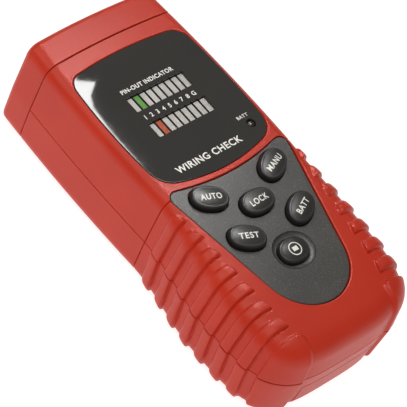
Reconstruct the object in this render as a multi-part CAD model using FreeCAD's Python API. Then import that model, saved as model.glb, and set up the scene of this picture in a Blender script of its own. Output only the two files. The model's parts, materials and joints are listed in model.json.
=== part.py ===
import FreeCAD, Part
import math
import os

V = FreeCAD.Vector

# ---------------------------------------------------------------- driving dimensions (mm)
# The tester lies on its back: +Z out of the keypad face, +Y towards the sockets, X across.
# The origin is the middle of the footprint, on the surface that the back rests on.
HEIGHT = 33.8            # back to the upper face
HEAD_Y = 63.6            # end wall with the sockets
FOOT_Y = -61.8           # end wall with the battery door's lip
GRIP_Y = -1.2            # the ribbed grip, and the fall of the face, start here
FACE_FALL = 0.095        # drop of the face per mm of length below GRIP_Y
PARTING_Z = 15.5         # joint plane between front and rear shell
SEAM_Y = 53.8            # joint between the shells and the end cap, on the centre line
SEAM_RADIUS = 313.0      # the seam is a shallow arc in plan
WALL = 2.2               # moulded wall
BODY_HALF = 26.8         # half width of the smooth body at the parting plane
BODY_WAIST_Y = 17.2      # where the smooth body is widest
BODY_BARREL = 0.0008     # how fast the smooth body narrows, per mm squared
GRIP_SWELL = 3.8         # extra half width of the grip
GRIP_RAMP = 30.0         # length over which the grip swells
GRIP_FULL_Y = -33.6      # the grip narrows towards the foot from here
CORNER_POWER = 3.5       # squareness of the foot's plan corners
SHOULDER_R = 4.2         # edge radius of the smooth body
GRIP_SHOULDER_R = 6.0    # edge radius of the grip
BODY_LEAN = 1.5          # lean of the upper side wall, degrees
GRIP_LEAN = 10.0
BACK_LEAN = 2.2          # lean of the lower side wall, degrees
BACK_R = 4.6             # edge radius round the back
FOOT_R = 6.6             # rounding from the face into the foot's end wall
BACK_FOOT_R = 2.5        # rounding from the back into the foot's end wall
BACK_SPARE = 0.05        # the body's form runs on below the back, and is then cut flat
HEAD_R = 1.9             # rounding of the head's end wall

RIB_COUNT = 7
RIB_PITCH = 6.83
RIB_FIRST_Y = -4.4       # leading foot of the first rib
RIB_LENGTH = 4.3
RIB_STEP = 0.6
RIB_FALL = 1.1
RIB_HEIGHT = 1.0
RIB_ROOT = 0.6           # a rib's slopes run on this deep into the wall
RIB_INNER_X = 23.5       # inner end of the first rib on the face
RIB_INNER_STEP = 0.8     # each next rib reaches this much further in
BUMPER_INNER_X = 16.5    # the corner bumpers leave a recess this half width in the foot

PANEL_Y = -13.6          # middle of the LOCK key, the datum of the keypad
KEY_TRAVEL = 1.2
KEY_GAP = 0.25           # clearance round a key in the panel
FLANGE = 0.9             # a key's flange beyond its cap, under the panel
FLANGE_GAP = 0.35
KEY_TOP = 1.9            # crown of a key above the face
PANEL_TOP = -0.35        # panel's face below the shell's face
PANEL_THICK = 1.3
LEDGE_THICK = 1.3        # rim of the front shell that carries the panel
MAT_THICK = 0.9
OVAL_KEY = (12.0, 8.0)
POWER_KEY = (10.6, 8.2)
DISH_R = 19.0            # spherical dish round the power key
DISH_DEPTH = 1.15
KEYS = (                 # name, x, y from the datum, turn in degrees
    ("auto", -12.9, 7.55, -28.0),
    ("manu", 12.9, 7.55, 28.0),
    ("lock", 0.0, 0.0, 0.0),
    ("batt", 11.0, -7.8, 28.0),
    ("test", -11.0, -7.8, -28.0),
    ("power", 0.0, -17.4, 0.0),
)

PLATE_HALF = 23.45       # faceplate
PLATE_TOP_Y = 48.3
PLATE_FOOT_Y = 0.5
PLATE_THICK = 1.0
WINDOW_X = 0.28          # the windows sit a little to the right of the light bars' cases
WINDOW_HALF = 11.38
WINDOW_TALL = 5.5
UPPER_ROW_Y = 30.8       # middle of each row of light bars
LOWER_ROW_Y = 20.6
LED_PITCH = 2.54
LED_BAR = (1.83, 5.08)
LED_BAR_DEEP = 2.0
LED_SUNK = 0.02          # bars and cases lie this far under the plate
LED_COUNT = 10
LIT_BAR = 2              # the bar of each row that is lit
LED_HOUSING = (25.4, 10.0, 8.0)
LED_OFFSET_X = -0.73
BATT_LED = (17.8, 8.7, 1.5)   # x, y, radius

PCB_TOP_Z = 24.8
PCB_THICK = 1.6
PCB_HALF = 21.5
PCB_Y = (-52.0, 59.6)
BOSS_X = 19.2
BOSS_Y = (-45.0, 38.5)
BOSS_R = 3.0
SCREW_R = 1.25

JACK = (15.9, 18.0, 13.3)     # width, depth, height
JACK_X = 10.6
JACK_MOUTH = (11.9, 13.0, 6.9)

BATTERY = (26.5, 45.7, 17.5)
BATTERY_Y = -58.0
BATTERY_Z = 3.4
BAY_HALF = 13.8
BAY_WALL = 1.2
BAY_Y = (-59.5, -2.4)
BAY_END = 0.9            # end wall of the bay at the foot
BAY_TOP_Z = 21.4

DOOR_HALF = 14.4
DOOR_TONGUE = 1.2
DOOR_Y = -9.0
DOOR_LIP_Z = 9.8
DOOR_GAP = 0.25
DOOR_SKIN = 1.1
FOAM = (22.0, 40.0, 1.05)


# ---------------------------------------------------------------- small helpers
def smooth(value):
    value = min(max(value, 0.0), 1.0)
    return value * value * (3.0 - 2.0 * value)


def box(low, high):
    size = [b - a for a, b in zip(low, high)]
    return Part.makeBox(*size, V(*low))


def cylinder(radius, height, base, axis=V(0, 0, 1)):
    return Part.makeCylinder(radius, height, base, axis)


def fuse_all(shapes):
    return shapes[0].multiFuse(shapes[1:]) if len(shapes) > 1 else shapes[0]


def prism(edges, z, height):
    face = Part.Face(Part.Wire(edges))
    face.translate(V(0, 0, z))
    return face.extrude(V(0, 0, height))


def arc(a, b, c):
    return Part.Arc(V(*a), V(*b), V(*c)).toShape()


def line(a, b):
    return Part.LineSegment(V(*a), V(*b)).toShape()


def oval(size, z, height, grow=0.0):
    ellipse = Part.Ellipse(V(0, 0, 0), size[0] / 2 + grow, size[1] / 2 + grow)
    return prism([ellipse.toShape()], z, height)


def group(solids):
    return Part.makeCompound([s for shape in solids for s in shape.Solids])


# ---------------------------------------------------------------- the body's form
def face_z(y):
    return HEIGHT - FACE_FALL * max(GRIP_Y - y, 0.0)


def half_width(y):
    """Half width at the parting plane."""
    if y > GRIP_Y:
        return BODY_HALF - BODY_BARREL * (y - BODY_WAIST_Y) ** 2
    swell = GRIP_SWELL * smooth((GRIP_Y - y) / GRIP_RAMP)
    width = half_width(GRIP_Y + 1e-6) + swell
    if y < GRIP_FULL_Y:
        run = (GRIP_FULL_Y - y) / (GRIP_FULL_Y - FOOT_Y + 0.3)
        width *= (1.0 - run ** CORNER_POWER) ** (1.0 / CORNER_POWER)
    return width


def rounding(radius, depth):
    """How far a quarter-round edge has fallen at this depth from the tangent point."""
    depth = min(max(depth, 0.0), radius)
    return radius - math.sqrt(radius * radius - depth * depth)


def section(y, inset=0.0, station=None):
    """Closed cross-section of the body at y, moved inwards by inset."""
    at = y if station is None else station
    grip = smooth((GRIP_Y - at) / GRIP_RAMP)
    lean = math.radians(BODY_LEAN + (GRIP_LEAN - BODY_LEAN) * grip)
    back_lean = math.radians(BACK_LEAN)
    shoulder = SHOULDER_R + (GRIP_SHOULDER_R - SHOULDER_R) * grip - inset
    back_r = BACK_R - inset
    half = half_width(at) - inset / math.cos(lean)
    top = face_z(at) - rounding(FOOT_R, FOOT_Y + FOOT_R - at) - inset
    low = rounding(BACK_FOOT_R, FOOT_Y + BACK_FOOT_R - at) + inset - BACK_SPARE

    def corner(radius, edge_z, angle, sign):
        normal = V(math.cos(angle), 0, sign * math.sin(angle))
        middle_z = edge_z - sign * radius
        reach = (-radius - math.sin(angle) * abs(middle_z - PARTING_Z)) / math.cos(angle)
        middle = V(half + reach, y, middle_z)
        turn = (math.pi / 2 + angle) / 2
        mid = middle + V(radius * math.cos(turn), 0, sign * radius * math.sin(turn))
        return middle + V(0, 0, sign * radius), mid, middle + normal * radius

    upper = corner(shoulder, top, lean, 1)
    lower = corner(back_r, low, back_lean, -1)
    waist = V(half, y, PARTING_Z)

    def mirrored(p):
        return V(-p.x, p.y, p.z)

    right = [
        Part.Arc(*upper).toShape(),
        Part.LineSegment(upper[2], waist).toShape(),
        Part.LineSegment(waist, lower[2]).toShape(),
        Part.Arc(lower[2], lower[1], lower[0]).toShape(),
    ]
    left = [
        Part.Arc(mirrored(lower[0]), mirrored(lower[1]), mirrored(lower[2])).toShape(),
        Part.LineSegment(mirrored(lower[2]), mirrored(waist)).toShape(),
        Part.LineSegment(mirrored(waist), mirrored(upper[2])).toShape(),
        Part.Arc(mirrored(upper[2]), mirrored(upper[1]), mirrored(upper[0])).toShape(),
    ]
    back = Part.LineSegment(lower[0], mirrored(lower[0])).toShape()
    face = Part.LineSegment(mirrored(upper[0]), upper[0]).toShape()
    return Part.Wire(right + [back] + left + [face])


def loft(sections):
    return Part.makeLoft(sections, True, True)


BODY_STATIONS = (46.0, 30.0, 17.2, 6.0, GRIP_Y, -8.0, -15.0, -22.0, -29.0,
                 -36.0, -43.0, -49.0, -53.5, -56.5, -59.0, -60.6)


def outer_body():
    head = [section(HEAD_Y, HEAD_R), section(HEAD_Y - 0.8, 0.8), section(HEAD_Y - HEAD_R)]
    foot = [section(FOOT_Y, station=FOOT_Y + 0.25)]
    return loft(head + [section(y) for y in BODY_STATIONS] + foot)


def inner_body():
    """The cavity inside the moulded wall."""
    head = [section(HEAD_Y - WALL, WALL)]
    foot = [section(FOOT_Y + WALL, WALL, FOOT_Y + 1.2)]
    stations = [y for y in BODY_STATIONS if y > FOOT_Y + WALL + 0.3]
    return loft(head + [section(y, WALL) for y in stations] + foot)


def rib_ring(lead):
    """One rib as a full ring: a step up, a plateau and a fall, rooted in the wall."""
    root_run = RIB_ROOT / RIB_HEIGHT
    tail = lead - RIB_LENGTH
    stops = ((lead + RIB_STEP * root_run, RIB_ROOT), (lead - RIB_STEP, -RIB_HEIGHT),
             (tail + RIB_FALL, -RIB_HEIGHT), (tail - RIB_FALL * root_run, RIB_ROOT))
    return loft([section(y, inset) for y, inset in stops])


def side_blocks(inner_x, low_y, high_y):
    span = 60.0
    right = box((inner_x, low_y, 0.0), (span, high_y, span))
    left = box((-span, low_y, 0.0), (-inner_x, high_y, span))
    return right.fuse(left)


def ribs():
    pads = []
    for k in range(RIB_COUNT):
        lead = RIB_FIRST_Y - RIB_PITCH * k
        pads.append(rib_ring(lead).common(side_blocks(RIB_INNER_X - RIB_INNER_STEP * k, -80.0, 80.0)))
    return pads


def bumpers():
    """Raised pads that wrap the two corners at the foot."""
    lead = RIB_FIRST_Y - RIB_PITCH * RIB_COUNT
    stations = (-56.5, -59.0, -60.8)
    root_run = RIB_ROOT / RIB_HEIGHT
    rings = [section(lead + RIB_STEP * root_run, RIB_ROOT), section(lead - RIB_STEP, -RIB_HEIGHT)]
    rings += [section(y - 0.6, -RIB_HEIGHT, y) for y in stations]
    rings.append(section(FOOT_Y - 1.1, -0.2, FOOT_Y + 0.4))
    return [loft(rings).common(side_blocks(BUMPER_INNER_X, -80.0, 80.0))]


def seam_cylinder():
    middle = V(0, SEAM_Y - SEAM_RADIUS, -1)
    return cylinder(SEAM_RADIUS, HEIGHT + 10, middle)


# ---------------------------------------------------------------- tilted keypad frame
TILT = math.degrees(math.atan(FACE_FALL))


def to_face(shape, x=0.0, y=0.0, turn=0.0):
    """Move a shape built at the origin onto the sloping face, y counted from PANEL_Y."""
    shape = shape.copy()
    shape.rotate(V(0, 0, 0), V(0, 0, 1), turn)
    run = (PANEL_Y + y) - GRIP_Y
    shape.translate(V(x, run / math.cos(math.radians(TILT)), 0))
    shape.rotate(V(0, 0, 0), V(1, 0, 0), TILT)
    shape.translate(V(0, GRIP_Y, HEIGHT))
    return shape


def shield(grow, z, height):
    """The keypad panel's outline: arched top, rounded corners, tapering to a round foot."""
    foot_r = 15.4 + grow
    foot_y = -20.3
    lean = math.atan(0.24)
    tangent_x = foot_r * math.cos(lean)
    tangent_y = foot_y - foot_r * math.sin(lean)
    side_y = 11.2
    side_x = tangent_x + (side_y - tangent_y) * math.tan(lean)
    top_y = 14.6 + grow
    shoulder_x = side_x - 2.9
    corner_x = side_x - 0.45
    corner_y = side_y + 2.6 + grow * 0.7
    edges = [
        arc((-shoulder_x, top_y, 0), (0, 12.0 + grow, 0), (shoulder_x, top_y, 0)),
        arc((shoulder_x, top_y, 0), (corner_x, corner_y, 0), (side_x, side_y, 0)),
        line((side_x, side_y, 0), (tangent_x, tangent_y, 0)),
        arc((tangent_x, tangent_y, 0), (0, foot_y - foot_r, 0), (-tangent_x, tangent_y, 0)),
        line((-tangent_x, tangent_y, 0), (-side_x, side_y, 0)),
        arc((-side_x, side_y, 0), (-corner_x, corner_y, 0), (-shoulder_x, top_y, 0)),
    ]
    return prism(edges, z, height)


def plate_outline(grow, z, height):
    """The faceplate's outline: barrel sides, arched ends, rounded corners."""
    half = PLATE_HALF + grow
    top = PLATE_TOP_Y + grow
    foot = PLATE_FOOT_Y - grow
    side_top = (half - 0.9, 42.2, 0)
    side_mid = (half, 22.0, 0)
    side_foot = (half - 0.6, 9.4, 0)
    end_top = (half - 6.6, top - 1.0, 0)
    end_foot = (half - 6.9, foot + 2.2, 0)
    bend_top = (half - 2.5, top - 2.5, 0)
    bend_foot = (half - 2.3, foot + 4.9, 0)

    def flip(p):
        return (-p[0], p[1], p[2])

    edges = [
        arc(flip(end_top), (0, top, 0), end_top),
        arc(end_top, bend_top, side_top),
        arc(side_top, side_mid, side_foot),
        arc(side_foot, bend_foot, end_foot),
        arc(end_foot, (0, foot, 0), flip(end_foot)),
        arc(flip(end_foot), flip(bend_foot), flip(side_foot)),
        arc(flip(side_foot), flip(side_mid), flip(side_top)),
        arc(flip(side_top), flip(bend_top), flip(end_top)),
    ]
    return prism(edges, z, height)


def key_size(name):
    return POWER_KEY if name == "power" else OVAL_KEY


def key_hole(name, grow, z, height):
    return oval(key_size(name), z, height, grow)


def window(y, grow, z, height):
    return box((WINDOW_X - WINDOW_HALF - grow, y - WINDOW_TALL / 2 - grow, z),
               (WINDOW_X + WINDOW_HALF + grow, y + WINDOW_TALL / 2 + grow, z + height))


# ---------------------------------------------------------------- case parts
def bosses(z_low, z_high, radius):
    return [cylinder(radius, z_high - z_low, V(side * BOSS_X, y, z_low))
            for side in (-1, 1) for y in BOSS_Y]


def front_shell(body, cavity):
    shell = body.common(box((-40, -70, PARTING_Z), (40, 70, 60))).common(seam_cylinder())
    shell = shell.cut(cavity)
    posts = [post.common(body) for post in bosses(PCB_TOP_Z + 0.02, HEIGHT, BOSS_R)]
    panel_foot = PANEL_TOP - PANEL_THICK
    rim = to_face(shield(1.2, panel_foot - LEDGE_THICK, LEDGE_THICK + 0.2)).common(body)
    shell = shell.multiFuse(posts + [rim])
    tools = [plate_outline(0.15, HEIGHT - PLATE_THICK, 5.0)]
    for y in (UPPER_ROW_Y, LOWER_ROW_Y):
        half = LED_HOUSING[0] / 2 + 0.3
        low = (LED_OFFSET_X - half, y - LED_HOUSING[1] / 2 - 0.1, HEIGHT - 6)
        high = (LED_OFFSET_X + half, y + LED_HOUSING[1] / 2 + 0.1, HEIGHT + 1)
        tools.append(box(low, high))
    tools.append(cylinder(BATT_LED[2] + 0.3, 6, V(BATT_LED[0], BATT_LED[1], HEIGHT - 5)))
    tools.append(to_face(shield(0.2, panel_foot, 6.0)))
    tools.append(to_face(shield(-1.6, panel_foot - 6.0, 7.0)))
    for name, x, y, turn in KEYS:
        room = key_hole(name, FLANGE + FLANGE_GAP, panel_foot - 4.0, 5.0)
        tools.append(to_face(room, x, y, turn))
    tools += bosses(PCB_TOP_Z, PCB_TOP_Z + 3.8, SCREW_R)
    return shell.cut(Part.makeCompound(tools))


def door_opening():
    gap = DOOR_GAP
    skin = box((-DOOR_HALF - gap, -80, -1), (DOOR_HALF + gap, DOOR_Y + gap, DOOR_SKIN + 0.01))
    wide = DOOR_HALF + DOOR_TONGUE + gap
    rail = box((-wide, -80, DOOR_SKIN), (wide, DOOR_Y + gap, WALL + 0.3))
    lip_half = DOOR_HALF + gap
    lip = box((-lip_half, -80, -1), (lip_half, BAY_Y[0] + BAY_END + 0.1, DOOR_LIP_Z + gap))
    return fuse_all([skin, rail, lip])


def rear_shell(body, cavity):
    shell = body.common(box((-40, -70, 0), (40, 70, PARTING_Z))).common(seam_cylinder())
    shell = shell.cut(cavity)
    pads = [box((side * 16.2 - 2.2, FOOT_Y + 1.5, 1.0), (side * 16.2 + 2.2, DOOR_Y + 3, 4.4))
            for side in (-1, 1)]
    lintel = box((-18.5, DOOR_Y - 0.1, 1.0), (18.5, DOOR_Y + 3, 4.4))
    bay_outer = box((-BAY_HALF - BAY_WALL, BAY_Y[0], 1.5),
                    (BAY_HALF + BAY_WALL, BAY_Y[1], BAY_TOP_Z + BAY_WALL))
    bay_inner = box((-BAY_HALF, BAY_Y[0] + BAY_END, -1), (BAY_HALF, BAY_Y[1] - BAY_WALL, BAY_TOP_Z))
    lead_slot = box((-6, BAY_Y[1] - 3, BAY_TOP_Z - 8.4), (6, BAY_Y[1] + 1, BAY_TOP_Z - 1))
    posts = [post.common(body) for post in bosses(0.0, PCB_TOP_Z - PCB_THICK, BOSS_R)]
    posts = fuse_all(posts).cut(bay_inner)
    added = [p.common(body) for p in pads] + [lintel, bay_outer.common(body), posts]
    shell = shell.multiFuse(added)
    floor = box((-BAY_HALF, BAY_Y[0] + BAY_END, -1), (BAY_HALF, DOOR_Y + DOOR_GAP, 6))
    room = bay_inner.common(box((-40, -80, WALL), (40, 80, 60)))
    tools = [room, lead_slot, floor, door_opening()]
    tools += bosses(-1, PCB_TOP_Z, SCREW_R + 0.2)
    tools += bosses(-1, 5.0, 2.5)
    return shell.cut(Part.makeCompound(tools))


def jack_box(grow, y_low, y_high, side):
    width, _, height = JACK
    z_high = PCB_TOP_Z - PCB_THICK
    low = (side * JACK_X - width / 2 - grow, y_low, z_high - height - grow)
    high = (side * JACK_X + width / 2 + grow, y_high, z_high + grow)
    return box(low, high)


def end_cap(body, cavity):
    above_back = box((-40, 0, 0), (40, 70, 60))
    cap = body.common(above_back).cut(seam_cylinder()).cut(cavity)
    for side in (-1, 1):
        cap = cap.cut(jack_box(0.2, 40, 80, side))
    return cap


def battery_door():
    skin = box((-DOOR_HALF, FOOT_Y + 0.1, 0), (DOOR_HALF, DOOR_Y, DOOR_SKIN - 0.1))
    wide = DOOR_HALF + DOOR_TONGUE
    rail = box((-wide, FOOT_Y + 3.5, DOOR_SKIN + 0.15), (wide, DOOR_Y, WALL))
    web = box((-DOOR_HALF + 0.3, FOOT_Y + 3.0, 0.5), (DOOR_HALF - 0.3, DOOR_Y, WALL))
    lip = box((-DOOR_HALF, FOOT_Y + 0.1, 0), (DOOR_HALF, BAY_Y[0] + 0.2, DOOR_LIP_Z))
    door = fuse_all([skin, rail, web, lip])
    foot_edges = [e for e in door.Edges
                  if e.BoundBox.ZMax < 0.01 and e.BoundBox.YMax < FOOT_Y + 0.2]
    return door.makeFillet(0.8, foot_edges)


def foam_pad():
    """Foam on the door that keeps the battery from rattling."""
    half, length, thick = FOAM[0] / 2, FOAM[1], FOAM[2]
    start = BATTERY_Y + 3.0
    return box((-half, start, WALL), (half, start + length, WALL + thick))


def faceplate():
    plate = plate_outline(0.0, HEIGHT - PLATE_THICK + 0.02, PLATE_THICK - 0.12)
    for y in (UPPER_ROW_Y, LOWER_ROW_Y):
        plate = plate.cut(window(y, 0.0, HEIGHT - 3, 6))
    return plate.cut(cylinder(BATT_LED[2], 6, V(BATT_LED[0], BATT_LED[1], HEIGHT - 3)))


def keypad_panel():
    panel = shield(0.0, PANEL_TOP - PANEL_THICK + 0.02, PANEL_THICK - 0.02)
    for name, x, y, turn in KEYS:
        hole = key_hole(name, KEY_GAP, -5, 10)
        if name == "power":
            dish = Part.makeSphere(DISH_R, V(0, 0, PANEL_TOP - DISH_DEPTH + DISH_R))
            hole = hole.fuse(dish)
        hole.rotate(V(0, 0, 0), V(0, 0, 1), turn)
        hole.translate(V(x, y, 0))
        panel = panel.cut(hole)
    return to_face(panel)


def keypad_mat():
    foot = PANEL_TOP - PANEL_THICK
    mat = shield(-1.9, foot - MAT_THICK, MAT_THICK - 0.02)
    for name, x, y, turn in KEYS:
        hole = key_hole(name, FLANGE + FLANGE_GAP, -8, 10)
        hole.rotate(V(0, 0, 0), V(0, 0, 1), turn)
        hole.translate(V(x, y, 0))
        mat = mat.cut(hole)
    return to_face(mat)


# ---------------------------------------------------------------- keys
def pcb_depth(y):
    """Board's upper face below the sloping face at y, along Z."""
    return face_z(PANEL_Y + y) - PCB_TOP_Z


def key_shape(name, y):
    length, width = key_size(name)
    flange_top = PANEL_TOP - PANEL_THICK - 0.12
    flange = oval((length, width), flange_top - 0.8, 0.8, FLANGE)
    cap = oval((length, width), flange_top - 0.2, KEY_TOP - flange_top + 0.2)
    rim = [e for e in cap.Edges if abs(e.BoundBox.ZMin - KEY_TOP) < 0.01]
    cap = cap.makeFillet(1.0, rim)
    stem_foot = -pcb_depth(y) + KEY_TRAVEL + 0.95
    stem = cylinder(2.6, flange_top - 0.4 - stem_foot, V(0, 0, stem_foot))
    return fuse_all([cap, flange, stem]), stem_foot


def keys():
    made = {}
    for name, x, y, turn in KEYS:
        shape, stem_foot = key_shape(name, y)
        pill = cylinder(2.0, 0.4, V(0, 0, stem_foot - 0.4))
        made["key_" + name] = to_face(shape, x, y, turn)
        made["carbon_pill_" + name] = to_face(pill, x, y, turn)
    return made


# ---------------------------------------------------------------- display
def led_housing(y):
    width, tall, deep = LED_HOUSING
    z_low = PCB_TOP_Z
    low = (LED_OFFSET_X - width / 2, y - tall / 2, z_low)
    body = box(low, (LED_OFFSET_X + width / 2, y + tall / 2, z_low + deep - LED_SUNK))
    return body.cut(Part.makeCompound([led_bar(k, y) for k in range(LED_COUNT)]))


def led_bar(k, y):
    x = LED_OFFSET_X + (k - (LED_COUNT - 1) / 2) * LED_PITCH
    z = PCB_TOP_Z + LED_HOUSING[2]
    half_w = LED_BAR[0] / 2
    half_t = LED_BAR[1] / 2
    return box((x - half_w, y - half_t, z - LED_BAR_DEEP), (x + half_w, y + half_t, z - LED_SUNK))


def display():
    rows = {"upper": UPPER_ROW_Y, "lower": LOWER_ROW_Y}
    lit = {"upper": "led_bar_green_lit", "lower": "led_bar_red_lit"}
    made = {}
    for row, y in rows.items():
        idle = [led_bar(k, y) for k in range(LED_COUNT) if k != LIT_BAR]
        made["led_array_" + row + "_housing"] = led_housing(y)
        made["led_bars_" + row] = group(idle)
        made[lit[row]] = led_bar(LIT_BAR, y)
    x, y, radius = BATT_LED
    stem = cylinder(radius - 0.05, HEIGHT - 1.6 - PCB_TOP_Z, V(x, y, PCB_TOP_Z))
    dome = Part.makeSphere(radius - 0.05, V(x, y, HEIGHT - 1.6))
    made["battery_led"] = stem.fuse(dome)
    return made


# ---------------------------------------------------------------- board and electronics
def main_board():
    z = PCB_TOP_Z - PCB_THICK
    board = box((-PCB_HALF, PCB_Y[0], z), (PCB_HALF, PCB_Y[1], PCB_TOP_Z))
    corners = [e for e in board.Edges if abs(e.BoundBox.ZLength - PCB_THICK) < 0.01]
    board = board.makeFillet(6.0, corners)
    holes = bosses(z - 1, PCB_TOP_Z + 1, SCREW_R + 0.15)
    return board.cut(Part.makeCompound(holes))


def chip(x, y, width, length, tall, z, legs):
    """A flat package with gull-wing legs on its long sides."""
    parts = [box((x - width / 2, y - length / 2, z + 0.15), (x + width / 2, y + length / 2, z + tall))]
    pitch = length / legs
    for side in (-1, 1):
        for k in range(legs):
            leg_y = y - length / 2 + pitch * (k + 0.5)
            x_in = x + side * (width / 2 - 0.2)
            x_out = x + side * (width / 2 + 1.2)
            low = (min(x_in, x_out), leg_y - 0.2, z)
            parts.append(box(low, (max(x_in, x_out), leg_y + 0.2, z + 0.35)))
    return fuse_all(parts)


def electronics():
    under = PCB_TOP_Z - PCB_THICK
    made = {"main_board": main_board()}
    micro = chip(0, 12, 9.6, 18.0, 2.4, 0, 14)
    micro.rotate(V(0, 12, 0), V(0, 1, 0), 180)
    micro.translate(V(0, 0, under))
    made["microcontroller"] = micro
    drivers = []
    for side in (-1, 1):
        driver = chip(side * 11.5, 31.0, 4.0, 10.0, 1.6, 0, 8)
        driver.rotate(V(side * 11.5, 31, 0), V(0, 1, 0), 180)
        driver.translate(V(0, 0, under))
        drivers.append(driver)
    made["line_driver_chips"] = group(drivers)
    can = box((12.0, 6.0, under - 3.4), (16.4, 16.6, under))
    edges = [e for e in can.Edges if abs(e.BoundBox.ZLength - 3.4) < 0.01]
    made["crystal_can"] = can.makeFillet(2.1, edges)
    can_cap = cylinder(2.5, 7.0, V(-14.5, 10.0, under - 7.0))
    made["electrolytic_capacitor"] = can_cap
    resistors = [box((x - 0.65, y - 1.0, under - 0.6), (x + 0.65, y + 1.0, under))
                 for x in (-9.0, -6.0, -3.0, 3.0, 6.0, 9.0) for y in (24.0, 38.5)]
    made["chip_resistors"] = group(resistors)
    contacts = []
    for _, x, y, _ in KEYS:
        contacts.append(cylinder(2.6, 0.08, V(x, PANEL_Y + y, PCB_TOP_Z)))
    made["key_contact_pads"] = group(contacts)
    return made


def jack(side):
    width, depth, height = JACK
    y_face = HEAD_Y - 0.4
    z_high = PCB_TOP_Z - PCB_THICK
    body = jack_box(0.0, y_face - depth, y_face, side)
    mouth_w, mouth_d, mouth_h = JACK_MOUTH
    x = side * JACK_X
    z_low = z_high - height + 3.2
    mouth = box((x - mouth_w / 2, y_face - mouth_d, z_low), (x + mouth_w / 2, y_face + 1, z_low + mouth_h))
    notch = box((x - 3.1, y_face - mouth_d, z_low - 1.4), (x + 3.1, y_face + 1, z_low))
    key_way = box((x - 1.6, y_face - mouth_d, z_low - 2.4), (x + 1.6, y_face + 1, z_low))
    return body.cut(Part.makeCompound([mouth, notch, key_way]))


def jack_contacts(side):
    """Eight springs that slope down from the roof of the socket's mouth."""
    y_face = HEAD_Y - 0.4
    z_roof = PCB_TOP_Z - PCB_THICK - JACK[2] + 3.2 + JACK_MOUTH[2]
    springs = []
    for k in range(8):
        x = side * JACK_X + (k - 3.5) * 1.02
        a = V(x - 0.2, y_face - 3.0, z_roof - 0.05)
        b = V(x - 0.2, y_face - 10.5, z_roof - 2.4)
        c = V(x - 0.2, y_face - 10.5, z_roof - 2.0)
        d = V(x - 0.2, y_face - 4.2, z_roof - 0.02)
        springs.append(Part.Face(Part.makePolygon([a, b, c, d, a])).extrude(V(0.4, 0, 0)))
    return group(springs)


# ---------------------------------------------------------------- battery and its leads
def battery():
    width, length, tall = BATTERY
    case = box((-width / 2, BATTERY_Y, BATTERY_Z), (width / 2, BATTERY_Y + length, BATTERY_Z + tall))
    edges = [e for e in case.Edges if abs(e.BoundBox.YLength - length) < 0.01]
    case = case.makeFillet(2.2, edges)
    top_y = BATTERY_Y + length
    middle_z = BATTERY_Z + tall / 2
    axis = V(0, 1, 0)
    stud = cylinder(2.85, 2.6, V(-6.35, top_y, middle_z), axis)
    cup = cylinder(4.0, 2.6, V(6.35, top_y, middle_z), axis)
    cup = cup.cut(cylinder(3.1, 3.0, V(6.35, top_y + 0.6, middle_z), axis))
    plate_y = top_y + 2.7
    snap = box((-12.6, plate_y, middle_z - 5.2), (12.6, plate_y + 2.2, middle_z + 5.2))
    edges = [e for e in snap.Edges if abs(e.BoundBox.YLength - 2.2) < 0.01]
    snap = snap.makeFillet(4.8, edges)
    return {"battery_9v": case, "battery_terminals": group([stud, cup]), "battery_snap": snap}


def lead(points, radius):
    """A round wire along straight runs joined by tangent arcs."""
    edges = []
    start = points[0]
    for before, here, after in zip(points, points[1:], points[2:]):
        run_in = here - before
        run_out = after - here
        turn = run_in.getAngle(run_out)
        reach = 0.45 * min(run_in.Length, run_out.Length)
        into = V(run_in).normalize()
        out = V(run_out).normalize()
        first = here - into * reach
        last = here + out * reach
        towards = (out - into).normalize()
        bend_r = reach / math.tan(turn / 2)
        middle = here + towards * (bend_r / math.cos(turn / 2) - bend_r)
        edges.append(Part.LineSegment(start, first).toShape())
        edges.append(Part.Arc(first, middle, last).toShape())
        start = last
    edges.append(Part.LineSegment(start, points[-1]).toShape())
    path = Part.Wire(edges)
    ring = Part.Wire([Part.Circle(points[0], points[1] - points[0], radius).toShape()])
    return path.makePipe(Part.Face(ring))


def leads():
    snap_y = BATTERY_Y + BATTERY[1] + 2.7 + 2.2
    middle_z = BATTERY_Z + BATTERY[2] / 2
    under = PCB_TOP_Z - PCB_THICK
    made = {}
    for name, side in (("lead_red", 1), ("lead_black", -1)):
        x = side * 3.0
        route = [V(x, snap_y, middle_z), V(x, snap_y + 2.0, middle_z),
                 V(x, snap_y + 3.4, middle_z + 3.6), V(x, snap_y + 7.0, middle_z + 5.4),
                 V(x, snap_y + 8.6, middle_z + 8.0), V(x, snap_y + 8.6, under)]
        made[name] = lead(route, 0.7)
    return made


# ---------------------------------------------------------------- fasteners and small parts
def screw(x, y, z_head, length, up):
    head = cylinder(2.3, 1.4, V(x, y, z_head if up else z_head - 1.4))
    shank = cylinder(SCREW_R - 0.02, length, V(x, y, z_head + 1.4 if up else z_head - 1.4 - length))
    slot_z = z_head - 0.01 if up else z_head - 0.59
    cross = box((x - 1.4, y - 0.25, slot_z), (x + 1.4, y + 0.25, slot_z + 0.6))
    cross = cross.fuse(box((x - 0.25, y - 1.4, slot_z), (x + 0.25, y + 1.4, slot_z + 0.6)))
    return head.fuse(shank).cut(cross)


def case_screws():
    reach = HEIGHT - 3.6 - 5.0
    return group([screw(side * BOSS_X, y, 3.6, reach - 2.0, True)
                  for side in (-1, 1) for y in BOSS_Y])


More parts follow.
